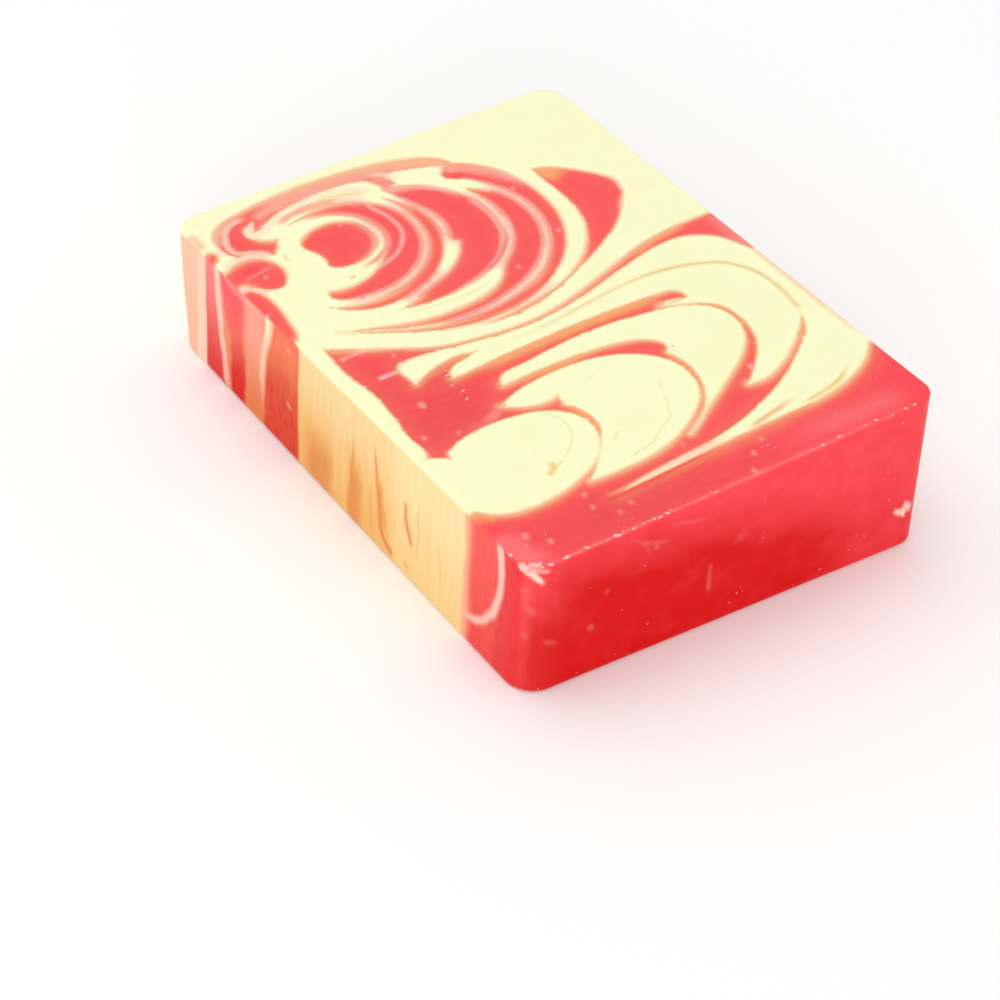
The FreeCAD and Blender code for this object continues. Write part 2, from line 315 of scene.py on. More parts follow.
# Each brush: the soap that it colours, where "" is both, the softness of its edge in
# millimetres, and what it lays down.
BRUSHES = {
    "milk": ("red", 0.28, {"veil": 0.85}),
    "rose": ("red", 0.32, {"veil": 0.5}),
    "blush": ("red", 0.8, {"dye": 0.6, "veil": 0.3}),
    "orange": ("red", 0.7, {"dye": 0.56, "amber": 0.42}),
    "coral": ("red", 0.6, {"dye": 0.72}),
    # darker red: small dark marks, and painted shade near the front and along the right end
    "dark_and_shade": ("red", 1.8, {"depth": 0.45, "veil": 0.06}),
    "rust": ("", 0.5, {"dye": 0.56, "amber": 0.5, "veil": 0.0}),
    "amber": ("cream", 0.3, {"amber": 0.7}),
    "ghost": ("cream", 0.28, {"amber": 0.38, "tan": 0.24}),
    "film": ("cream", 0.45, {"dye": 0.38, "veil": 0.35}),
    "pink": ("", 0.4, {"dye": 0.45, "veil": 0.72}),
    "haze": ("cream", 0.4, {"veil": 0.6}),
    "tan": ("", 0.16, {"tan": 0.6}),
    "peach": ("", 0.4, {"dye": 0.4, "veil": 0.0}),
    "stain": ("", 0.3, {"dye": 0.6, "amber": 0.95, "depth": 0.42, "tan": 0.12}),
    "flesh": ("", 0.4, {"dye": 0.86, "veil": 0.22}),
    "salmon": ("", 0.4, {"dye": 0.57, "veil": 0.26, "amber": 0.05}),
    "flush": ("", 0.4, {"dye": 0.75, "veil": 0.26, "amber": 0.0}),
    # a milky haze over the red; by the right end and its front corner it is a painted pinkish
    # reflection
    "bloom_and_reflection": ("red", 1.8, {"veil": 0.5}),
    "white": ("", 0.4, {"dye": 0.05, "veil": 0.5, "amber": 0.0}),
    "sand": ("", 0.5, {"dye": 0.2, "amber": 0.35, "tan": 0.12, "veil": 0.0}),
    "ruby": ("", 0.35, {"dye": 0.92, "veil": 0.0}),
    "pale": ("", 0.35, {"dye": 0.1, "veil": 0.35}),
    "spot": ("red", 0.3, {"veil": 0.45}),
    "chalk": ("", 0.12, {"dye": 0.3, "veil": 0.95, "depth": 0.0}),
}


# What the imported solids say

def top_faces(node):
    """The triangles of a node's cut top, as corner points in millimetres."""
    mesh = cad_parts[node].data
    mesh.calc_loop_triangles()
    points = np.zeros(len(mesh.vertices) * 3)
    mesh.vertices.foreach_get("co", points)
    points = points.reshape(-1, 3) / MM
    corners = np.zeros(len(mesh.loop_triangles) * 3, int)
    mesh.loop_triangles.foreach_get("vertices", corners)
    faces = points[corners.reshape(-1, 3)]
    normal = np.cross(faces[:, 1] - faces[:, 0], faces[:, 2] - faces[:, 0])
    normal /= np.maximum(np.linalg.norm(normal, axis=1), 1e-12)[:, None]
    return faces[(normal[:, 2] > 0.97) & (faces[:, :, 2].mean(axis=1) > 5)]


def cut_plane():
    """The cut top as height = a + b x + c y."""
    points = np.vstack([top_faces(node).reshape(-1, 3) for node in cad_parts])
    terms = np.column_stack([np.ones(len(points)), points[:, :2]])
    return np.linalg.lstsq(terms, points[:, 2], rcond=None)[0]


CUT = cut_plane()


def top_height(x, y):
    """Height of the cut top's plane over a point."""
    return CUT[0] + CUT[1] * x + CUT[2] * y


def cream_outlines():
    """The edges of the cream areas on the cut top, with cream on their left."""
    faces = top_faces("cream_soap")[:, :, :2]
    keys = np.round(faces.reshape(-1, 2), 3)
    points, corner = np.unique(keys, axis=0, return_inverse=True)
    corner = corner.reshape(-1, 3)
    edges = np.vstack([corner[:, [0, 1]], corner[:, [1, 2]], corner[:, [2, 0]]])
    edges = edges[edges[:, 0] != edges[:, 1]]
    name = edges.min(axis=1) * len(points) + edges.max(axis=1)
    _, first, count = np.unique(name, return_index=True, return_counts=True)
    outer = edges[first[count == 1]]
    return points[outer[:, 0]], points[outer[:, 1]]


# The bar's outline

def rim_distance(x, y, shape):
    """How far inside the bar's outline a point lies, negative outside it."""
    radius = np.where(
        y < 0,
        np.where(x < 0, shape.corner_front_left, shape.corner_front_right),
        np.where(x < 0, shape.corner_back_left, shape.corner_back_right))
    a = np.abs(x) - (RIGHT - radius)
    b = np.abs(y) - (BACK - radius)
    outside = np.hypot(np.maximum(a, 0), np.maximum(b, 0))
    return radius - (outside + np.minimum(np.maximum(a, b), 0))


def on_circle(centre, radius, angle):
    """A point of a circle."""
    return centre[0] + radius * math.cos(angle), centre[1] + radius * math.sin(angle)


def rim_columns(shape):
    """Points round the outline, anticlockwise from the front left, with their
    outward directions. The striped front and the right end get the finest ones."""
    # for each corner: its place, radius and first direction, and the spacing of the
    # points on the side that leads to it and on its arc
    corners = [
        (RIGHT, FRONT, shape.corner_front_right, -90, 0.26, 0.30),
        (RIGHT, BACK, shape.corner_back_right, 0, 0.32, 0.50),
        (LEFT, BACK, shape.corner_back_left, 90, 0.80, 0.70),
        (LEFT, FRONT, shape.corner_front_left, 180, 0.80, 0.40),
    ]
    points = []
    angles = []
    last = (LEFT + shape.corner_front_left, FRONT)
    for x, y, radius, start, side_step, arc_step in corners:
        centre = (x - math.copysign(radius, x), y - math.copysign(radius, y))
        turn = math.radians(start)
        first = on_circle(centre, radius, turn)
        count = round(math.dist(last, first) / side_step)
        for k in range(count):
            t = k / count
            points.append((last[0] + (first[0] - last[0]) * t, last[1] + (first[1] - last[1]) * t))
            angles.append(turn)
        count = max(4, round(radius * math.pi / 2 / arc_step))
        for k in range(count):
            angles.append(turn + math.pi / 2 * k / count)
            points.append(on_circle(centre, radius, angles[-1]))
        last = on_circle(centre, radius, turn + math.pi / 2)
    return np.array(points), np.array([on_circle((0, 0), 1, angle) for angle in angles])


# The colours of the cut top

# How far the red thins out inside its sharpest edges.
SHARP_FADE = 0.35
# Outlines nearer to the rim than this are the rim's own, and no seam between the soaps.
RIM_SEAM = 0.34
# Colours are carried over from this far inside the rim to what lies beyond it.
RIM_MARGIN = 0.6
# How far from a seam its pull is felt, and how far apart it is measured.
SEAM_REACH = 4.2
SEAM_STEP = 0.16
FAR = 9.0


def fade_width(normal):
    """How far the red thins out inside an edge, by the way the edge faces.
    The layers lean: the red feathers out to the left, and ends sharply to the right."""
    return SHARP_FADE + 1.5 * max(-normal[0], 0) ** 1.5 + 0.5 * max(normal[1], 0) ** 2


def in_cream(sheet, start, end):
    """Which points of a sheet lie inside the closed outlines of the cream soap."""
    inside = np.zeros(sheet.shape, bool)
    for (x0, y0), (x1, y1) in zip(start, end):
        if y0 == y1:
            continue
        first, last = np.searchsorted(sheet.v[0], (min(y0, y1), max(y0, y1)))
        rows = slice(first, last)
        cross = x0 + (sheet.v[0, rows] - y0) * (x1 - x0) / (y1 - y0)
        inside[:, rows] ^= sheet.u >= cross
    return inside


def seam_distances(sheet, start, end):
    """For every point of a sheet: how far off the nearest seam is, the same in fade
    widths, and the fade width at the nearest seam."""
    near = np.full(sheet.shape, FAR)
    feather = np.full(sheet.shape, FAR)
    lean = np.zeros(sheet.shape)
    for a, b in zip(start, end):
        size = math.dist(a, b)
        if size < 1e-6:
            continue
        side = np.array([-(b - a)[1], (b - a)[0]]) / size
        wide = fade_width(side)
        count = math.ceil(size / SEAM_STEP)
        for t in (np.arange(count) + 0.5) / count:
            p = a + (b - a) * t
            place = sheet.window(p - SEAM_REACH, p + SEAM_REACH)
            away = np.hypot(sheet.u[place[0]] - p[0], sheet.v[:, place[1]] - p[1])
            lean[place] = np.where(away < near[place], wide, lean[place])
            near[place] = np.minimum(near[place], away)
            feather[place] = np.minimum(feather[place], away / wide)
    return near, feather, lean


def draw_swirl(sheet):
    """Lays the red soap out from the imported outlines, feathered at its edges."""
    shape = bpy.context.scene.soap_shape
    start, end = cream_outlines()
    inside = in_cream(sheet, start, end)
    middle = (start + end) / 2
    seam = rim_distance(middle[:, 0], middle[:, 1], shape) > RIM_SEAM
    near, feather, lean = seam_distances(sheet, start[seam], end[seam])
    # just outside the rim the colours go on as they are inside it
    edge = rim_distance(sheet.u, sheet.v, shape)
    out = np.array(np.gradient(edge, sheet.step))
    missing = np.maximum(RIM_MARGIN - edge, 0)
    inside = sheet.read(inside.astype(float), sheet.u + out[0] * missing,
                        sheet.v + out[1] * missing) > 0.5
    soft = 0.15 + 0.24 * np.clip(lean - SHARP_FADE, 0, 1)
    depth = np.where(inside, -near, near)
    # the rings: where red soap fills most of the left side
    rings = ramp(blur(ramp(depth, -soft, soft), round(2.2 / sheet.step)), 0.55, 0.72)
    rings = rings * (1 - ramp(sheet.u, -2, 4)) * ramp(sheet.v, -24, -18)
    # the wire dragged the edges about, and nicked the sharp ones
    drag = waves(sheet.u, sheet.v, 0.7, 15)
    nicks = np.maximum(np.abs(drag) - 0.45, 0) * np.sign(drag)
    depth = depth + 0.07 * waves(sheet.u, sheet.v, 0.55, 13) + 0.42 * rings
    depth = depth + 0.5 * nicks * (1 - ramp(lean, 0.5, 1.0))
    soft = soft + 0.24 * rings
    # single strands on the right are drawn out thin, and stained orange
    slim = 1 - ramp(blur(ramp(depth, -soft, soft), round(1.4 / sheet.step)), 0.35, 0.62)
    slim = slim * ramp(sheet.u, 2, 6)
    depth = depth - 0.12 * slim
    sheet.red = ramp(depth, -soft, soft)
    # the red deepens from its edge inwards, quickly at first and then slowly; where
    # rings lie close together its edges are milky and not orange
    body = 0.40 + 0.46 * ramp(feather, 0.1, 1.0) + 0.14 * ramp(near, 0.2, 4.0)
    body = body + 0.75 * rings * (0.92 - body) - 0.12 * slim
    sheet.lay(sheet.red, dye=body)
    sheet.lay(0.34 * slim * sheet.red, amber=1.0)
    sheet.lay(sheet.red * rings * (1 - ramp(near, 0.1, 0.7)), veil=0.38)
    # a thin brown line where the red ends sharply
    line = (1 - ramp(near, 0.1, 0.4)) * (1 - ramp(lean, 0.4, 0.9)) * sheet.red
    sheet.lay(0.34 * line * (1 - rings), tan=1.0)
    # narrow bands of cream between red ones are tinged with pink
    crowd = ramp(blur(sheet.red, round(1.1 / sheet.step)), 0.28, 0.6)
    crowd = crowd * (1 - 0.75 * ramp(sheet.u, 1, 6))
    sheet.lay(0.9 * crowd * (1 - sheet.red), veil=0.8, dye=0.26)
    # the cream soap is a little uneven in colour
    mottle = ramp(waves(sheet.u, sheet.v, 5.5, 11), 0.15, 0.9)
    sheet.lay(0.05 * mottle * (1 - sheet.red), amber=1.0)


# Lines that the pour left on the cut top: brush, strength, width in millimetres,
# share of the length over which each end fades, and points.
TOP_LINES = (
    # rings on the left: pale lines inside the red, and a dark one
    ("rose", 0.9, 0.6, (0.05, 0.15), ((-27, 5.3), (-23.5, 5.75), (-20, 5.6), (-17, 4.7),
     (-14.5, 3), (-12.5, 1), (-11, -1.5), (-10, -4), (-9.2, -7), (-8.8, -10))),
    ("tan", 0.5, 0.35, (0.2, 0.2), ((-17.5, 5.5), (-15, 4.1), (-13, 2.3), (-11.6, 0))),
    ("rose", 0.95, 0.7, (0.1, 0.15), ((-35, -7), (-32, -6.8), (-30, -6.2), (-28, -6),
     (-26, -6.1), (-24, -6.9), (-22.3, -8.2), (-21, -9.8), (-20.2, -11.5), (-19.6, -13.5),
     (-19, -15.5))),
    ("rose", 0.8, 1.2, (0.05, 0.35), ((-34.3, 6.5), (-33.8, 8.2), (-32.2, 10.3),
     (-29.8, 12.2), (-27, 13.2), (-23.5, 14))),
    ("orange", 0.7, 0.9, (0.1, 0.3), ((-35.2, 6.6), (-34.6, 8.8), (-33, 11.3), (-30, 13.4),
     (-26.5, 14.5))),
    ("rose", 0.8, 1.1, (0.05, 0.35), ((-34.6, -2.8), (-34.2, -0.8), (-33, 1.3), (-31.5, 3),
     (-29, 4.4), (-26.5, 5.2))),
    ("pink", 0.8, 0.65, (0.25, 0.1), ((-22, 7.1), (-19, 6.8), (-17, 6.0), (-15, 4.7), (-13, 2.9),
     (-11.5, 1.1), (-10.4, -0.8))),
    ("ruby", 0.85, 0.45, (0.3, 0.25), ((-19, 6.3), (-16, 5.0), (-13.6, 2.9), (-12, 1), (-11, -1),
     (-10.2, -3))),
    # the left ends of the rings, thinned out
    ("blush", 0.85, (1.8, 2.6), (0.15, 0.25), ((-31.8, 4.6), (-33.6, 1.6), (-34.6, -2),
     (-34.9, -7))),
    ("blush", 0.5, 2.4, (0.0, 0.2), ((-32.6, -4.8), (-30.5, -3.2), (-28, -2.4))),
    ("salmon", 0.85, (1.2, 2.0), (0.15, 0.3), ((-36, -20.4), (-37.1, -17.5), (-37.4, -14.5),
     (-36.6, -10.8), (-35, -8.2), (-32.6, -6.6))),
    ("flush", 0.85, 0.8, (0.2, 0.15), ((-35.1, -17.4), (-34.9, -14.2), (-34.2, -12.2),
     (-33.1, -10.8), (-31.5, -9.5), (-29.1, -8.8), (-27.2, -8.5), (-25.3, -8.7), (-23.8, -9.5),
     (-22.8, -10.4), (-21.6, -12.3), (-21.1, -13.8), (-20.6, -16.2))),
    ("flush", 0.75, 0.8, (0.2, 0.2), ((-32.2, -12.1), (-30.9, -10.9), (-28.9, -10.4),
     (-27.2, -10.1), (-25.8, -10.2), (-24.7, -10.8), (-23.9, -11.5), (-22.9, -13.1),
     (-22.5, -14.4), (-22.2, -16.4))),
    ("rust", 0.75, 1.0, (0.1, 0.5), ((-36.2, 8.2), (-38.6, 5.2), (-40.4, 1), (-41.6, -4.5),
     (-42.1, -11), (-42.0, -18), (-41.2, -23.5), (-39.6, -27.2))),
    ("film", 0.4, 0.8, (0.2, 0.3), ((-37.6, 7.4), (-40.4, 3), (-41.8, -3), (-42.5, -10),
     (-42.4, -17), (-41.3, -23))),
    # left band and the soap beside it
    ("blush", 0.9, 3.2, (0.0, 0.2), ((-37, 6.5), (-39.3, 2.5), (-40.3, -2), (-40.6, -8),
     (-40.8, -14), (-41, -20), (-40.6, -23))),
    ("salmon", 0.8, 1.8, (0.3, 0.2), ((-40, -15), (-39.7, -19), (-39, -22.4))),
    ("flesh", 0.8, 0.9, (0.3, 0.1), ((-38.5, -19.4), (-37.5, -21.5), (-36.4, -22.8))),
    ("orange", 0.8, 1.6, (0.1, 0.4), ((-35.2, 8.2), (-37.5, 5.5), (-39, 2), (-39.6, -1))),
    ("sand", 0.8, 0.7, (0.2, 0.25), ((-35.4, -5.4), (-36.6, -6.9), (-37.5, -9), (-37.9, -11.5),
     (-37.6, -14))),
    ("white", 0.7, 0.9, (0.2, 0.3), ((-34.2, -5.6), (-35.9, -8.2), (-36.8, -11.2))),
    ("white", 0.95, (1.4, 1.0), (0.15, 0.1), ((-35.2, -3.5), (-37.0, -5.7), (-38.3, -8.0),
     (-38.8, -10.4), (-38.9, -13), (-38.6, -15.5), (-38.1, -18.2), (-37.0, -20.2), (-35.8, -22.0),
     (-35.3, -23.4), (-36.0, -24.2), (-37.6, -23.9), (-38.6, -23.1))),
    ("white", 0.6, 1.6, (0.5, 0.0), ((-40, -3.2), (-38.3, -1.9), (-36.9, -0.2))),
    ("flush", 0.8, 2.2, (0.2, 0.2), ((-38.6, -3.2), (-36.8, -2.2), (-35.0, -1.6))),
    ("salmon", 0.55, 1.9, (0.1, 0.5), ((-34.8, 6.2), (-33.2, 8.8), (-30.2, 11.3), (-26, 13))),
    ("salmon", 0.8, 1.1, (0.2, 0.2), ((-41.2, -23), (-40.4, -26), (-39.2, -27.6), (-37.6, -28.5),
     (-35.4, -28.9))),
    ("pink", 0.85, 0.9, (0.15, 0.1), ((-40.0, -22), (-39.9, -24.2), (-39, -26.2), (-37, -27.5),
     (-34.8, -28.1), (-33.2, -27.6), (-32.1, -25.6), (-30.3, -23.6))),
    ("haze", 0.9, 1.0, (0, 0), ((-30.4, -23.8), (-31.8, -25.5), (-32.8, -27.6), (-31.5, -30))),
    ("rose", 0.5, 0.6, (0.3, 0.3), ((-28.0, -24.6), (-27.5, -27.5), (-27.0, -30.6))),
    ("milk", 0.8, 0.8, (0.1, 0.3), ((-23.4, -29.4), (-25, -30.6), (-26.6, -31.8))),
    ("film", 0.8, 1.6, (0, 0), ((-39.8, -31.3), (-37.6, -31.3))),
    ("tan", 0.6, 0.5, (0.3, 0.2), ((-29.6, -22.3), (-28.4, -22.9), (-27.6, -22.5))),
    ("tan", 0.8, 0.5, (0, 0), ((-19.7, -17.3), (-19.6, -17.7))),
    # petal and the long strand behind it
    ("orange", 0.9, 3.4, (0, 0.5), ((-27.4, 17.4), (-25.4, 18.6), (-23.2, 19.9))),
    ("rose", 0.7, 0.8, (0.2, 0.2), ((-22, 24), (-19, 25.0), (-16.3, 24.4))),
    ("rose", 0.8, 0.8, (0.2, 0.4), ((-15.2, 23.6), (-13.8, 22.4), (-12.9, 21.2))),
    # along the back edge
    ("bloom_and_reflection", 0.8, 2.2, (0.1, 0.3), ((-4.6, 31.7), (0, 31.6), (7, 31.6))),
    ("film", 0.8, 0.9, (0.1, 0.2), ((4, 31.2), (12, 31.1), (20, 31.2), (30, 31.2))),
    # the long strand's orange edge
    ("orange", 0.8, 1.7, (0.2, 0.2), ((-4.7, 27), (-4.6, 23), (-3.7, 19), (-2.6, 15.5))),
    # faint lines through the middle
    ("ghost", 1.0, 0.7, (0.05, 0.0), ((20.5, 27.7), (18, 28.2), (15, 28.5), (12, 28.5),
     (9.5, 28), (7.5, 27), (5.8, 25.8), (4.6, 24), (3.5, 21.5), (2.7, 18.5), (2.2, 15))),
    ("ghost", 0.8, 0.6, (0.0, 0.6), ((2.2, 15), (2.5, 10), (3.1, 5), (3.7, 1), (4.2, -3),
     (4.3, -8), (4, -12))),
    ("tan", 0.4, 0.3, (0.2, 0.2), ((16, 28.4), (12, 28.5), (9.5, 28), (7.5, 27), (5.8, 25.8),
     (4.6, 24), (3.5, 21.5), (2.7, 18.5), (2.3, 14.4), (2.5, 10.2))),
    ("tan", 0.4, 0.35, (0.2, 0.2), ((-8.7, -1), (-7.7, -6), (-7.9, -12), (-8.3, -16))),
    ("amber", 0.5, 0.6, (0.2, 0.5), ((-2.8, -16), (-2, -12), (-1.1, -8.5), (-0.4, -4),
     (-0.6, 4))),
    ("tan", 0.5, 0.35, (0.1, 0.2), ((-9.3, -24), (-7, -21), (-5.5, -17))),
    ("amber", 0.5, 0.8, (0.2, 0.1), ((-8, -23.5), (-9.4, -25), (-10.4, -26.2))),
    # arches on the right
    ("amber", 0.8, 0.8, (0.3, 0.2), ((33, 26.2), (34.2, 24.6), (35.4, 22.6), (36.3, 19.4),
     (36.8, 15))),
    ("tan", 0.45, 0.35, (0.2, 0.2), ((34, 24.8), (35.3, 22.3), (36.1, 19), (36.5, 16))),
    ("peach", 0.9, 0.8, (0.35, 0.3), ((35, 16.6), (35.4, 14), (36.1, 11), (36.8, 8),
     (37.2, 6))),
    ("tan", 0.4, 0.3, (0.3, 0.3), ((35.6, 13.5), (36.2, 10), (36.9, 6.5))),
    ("pink", 0.6, (1.2, 0.4), (0.4, 0.3), ((36.5, 6), (36.9, 0), (37.2, -5), (37.5, -9),
     (37.8, -12.5), (38.1, -14.5))),
    ("ruby", 0.9, (0.3, 1.0), (0.4, 0.0), ((37.9, 4), (38.1, -1), (38.4, -6), (38.7, -10.5),
     (38.8, -15.5))),
    ("ruby", 0.8, (0.3, 0.6), (0.4, 0.0), ((36.1, -1), (36.5, -6), (36.9, -10), (37.4, -14.5))),
    ("milk", 0.6, 0.8, (0.1, 0.4), ((31.6, 4), (32.6, 2.2), (33.6, 0.4))),
    ("tan", 0.35, 0.35, (0.3, 0.1), ((22.5, 3.2), (25, 2.3), (27.5, 1.2), (29.5, 0),
     (31, -2.5), (32.5, -5), (33.2, -8), (34.2, -9.5))),
    ("tan", 0.4, 0.3, (0.1, 0.2), ((19.2, -13.2), (21, -12.1), (23, -11.6), (25, -12.1),
     (27, -13.4), (29, -16), (29.8, -17.5))),
    ("amber", 0.9, 0.9, (0.2, 0.1), ((28.2, -17.6), (29.4, -17.8), (30.2, -18.6),
     (30.9, -19.1))),
    ("tan", 0.5, 0.4, (0.1, 0.1), ((29, -16.2), (29.6, -17.2), (29.9, -18.2))),
    ("tan", 0.4, 0.35, (0.2, 0.2), ((27.6, -6.9), (28.6, -7.6), (29.6, -8.6))),
    ("tan", 0.3, 0.4, (0, 0), ((16.6, -3), (17, -3.6))),
    ("tan", 0.25, 0.4, (0, 0), ((23, 3.1), (23.7, 2.9))),
    ("pale", 0.8, 0.8, (0.1, 0.2), ((9.3, 16.5), (9.0, 14.8), (8.9, 13.4))),
    ("orange", 0.8, 1.0, (0.1, 0.1), ((12.2, -1), (12.3, -5), (12.2, -9), (12.6, -12))),
    ("orange", 0.85, 1.9, (0.1, 0.2), ((7.4, 14.5), (6.9, 10), (6.7, 4), (6.9, -4), (7.2, -12),
     (7.5, -16))),
    ("orange", 0.8, 0.7, (0.1, 0.1), ((11.3, 17), (12.8, 18.8), (15, 19.9))),
    ("orange", 0.7, 1.0, (0.1, 0.1), ((18.5, 7.7), (21, 8.1), (23.5, 8.1))),
    ("orange", 0.9, 1.4, (0.1, 0.3), ((20, -8.8), (23, -8.4), (26, -8.6), (29, -9.9))),
    ("orange", 0.8, 1.2, (0.1, 0.1), ((21.2, 27), (23.4, 25.9), (25.2, 24))),
    # brown edges of the arches
    ("tan", 0.4, 0.3, (0.3, 0.3), ((20.4, 27.6), (23.5, 26.3), (25.9, 23.9), (27.7, 21.8))),
    ("tan", 0.45, 0.3, (0.1, 0.2), ((11.6, 17.6), (12.7, 18.7), (14.4, 19.6), (16.4, 19.8),
     (19.5, 19.2), (22.2, 18.4), (24.4, 17.1), (26.8, 15.5))),
    ("tan", 0.4, 0.3, (0.1, 0.2), ((18.9, 7.8), (21.4, 8.0), (24.1, 7.8), (26.5, 7.2),
     (28.7, 6.2))),
    # lower middle
    ("rose", 0.7, 0.6, (0.1, 0.1), ((-4.6, -24.6), (-4.6, -28.8))),
    ("orange", 0.8, 2.4, (0.2, 0.2), ((-7.9, -28.4), (-6.5, -26.6), (-5.7, -25))),
    ("milk", 0.7, 0.8, (0.2, 0.2), ((1.7, -23.3), (1.7, -26.8))),
    ("rose", 0.5, 1.4, (0.2, 0.4), ((15.5, -16.7), (16.6, -18.5), (17.3, -21), (17.5, -24))),
    ("orange", 0.8, 0.8, (0.1, 0.2), ((3.5, -14), (4.3, -18), (5, -22))),
    # painted shade over the red by the front edge
    ("dark_and_shade", 0.8, 7, (0.2, 0.2), ((14, -19), (15, -25), (16, -28))),
    # the red of the right end, with painted shade and a painted pinkish reflection by its edge, and
    # the corners of the front edge
    ("dark_and_shade", 0.8, 4, (0.7, 0.2), ((43, 14), (42.6, 0), (41.8, -15), (41.5, -28))),
    ("bloom_and_reflection", 0.26, 3, (0.2, 0.5), ((42, 29), (42, 20), (42, 6))),
    ("bloom_and_reflection", 0.35, 3, (0.2, 0.4), ((36, -30.5), (42, -30), (44, -26))),
    ("coral", 0.45, 2.2, (0.1, 0.2), ((36, 18), (38.2, 12), (38.6, 4), (38.6, -4))),
    ("orange", 0.7, 1.0, (0.1, 0.2), ((31.4, -30.8), (33, -30.6), (34.4, -29.2))),
    ("milk", 0.8, 0.7, (0.1, 0.3), ((-19, -31.2), (-17, -31.9))),
    # a thin pale line along the right top edge: a painted edge highlight, with the pale of its
    # chips
    ("spot", 0.5, 0.3, (0.1, 0.3), ((44.5, -30), (44.55, -10), (44.55, 8), (44.5, 29))),
)

# Pale bubbles and specks of cream in the red of the cut top: x, y and size.
TOP_SPECKS = (
    (9.6, -24.8, 1.3), (17, -24, 0.6), (40.7, -13.8, 0.6), (41.5, -16, 0.6),
    (36.2, -17.8, 0.8), (38.8, -18.3, 0.7), (41.3, -26.2, 0.9), (38.8, -28.2, 1.0),
    (40.5, -29.2, 0.5), (41.3, 4.5, 0.8), (34.9, -1.8, 0.6), (44.1, 2.5, 0.7),
    (-26.2, -27.3, 0.8), (-31.2, -12.7, 0.6), (-13.2, 11.5, 0.9), (-25.3, 12, 0.7),
    (-9, 2.2, 0.7), (-1.5, -22.3, 0.6), (-4.5, -28.2, 0.7), (10.4, -29.2, 0.8),
    (39.6, 7, 0.6), (26.6, 14.9, 1.1), (30.6, 4.5, 0.9), (15.5, -28.2, 0.8),
)


def build_top_sheet():
    """The drawing of the cut top, seen from above."""
    sheet = Sheet((LEFT - 0.5, FRONT - 0.5), (RIGHT + 0.5, BACK + 0.5), TOP_STEP)
    draw_swirl(sheet)
    # painted shade: the red is darker and greyer in the middle triangle by the front and along the
    # front half of the right end
    middle = ramp(sheet.u, -7, 5) * (1 - ramp(sheet.u, 16, 22)) * (1 - ramp(sheet.v, -20, -10))
    strip = ramp(sheet.u, 34, 39) * (1 - ramp(sheet.v, -14, 12)) * ramp(sheet.v, -31, -24)
    sheet.lay(0.34 * (middle + strip) * sheet.red, depth=1.0)
    sheet.lay(0.05 * (middle + strip) * sheet.red, veil=1.0)
    for line in TOP_LINES:
        sheet.stroke(*line)
    for x, y, size in TOP_SPECKS:
        half = size / 4
        sheet.stroke("spot", 0.8, size * 0.7, (0, 0), ((x - half, y + 0.1), (x + half, y)))
    return sheet


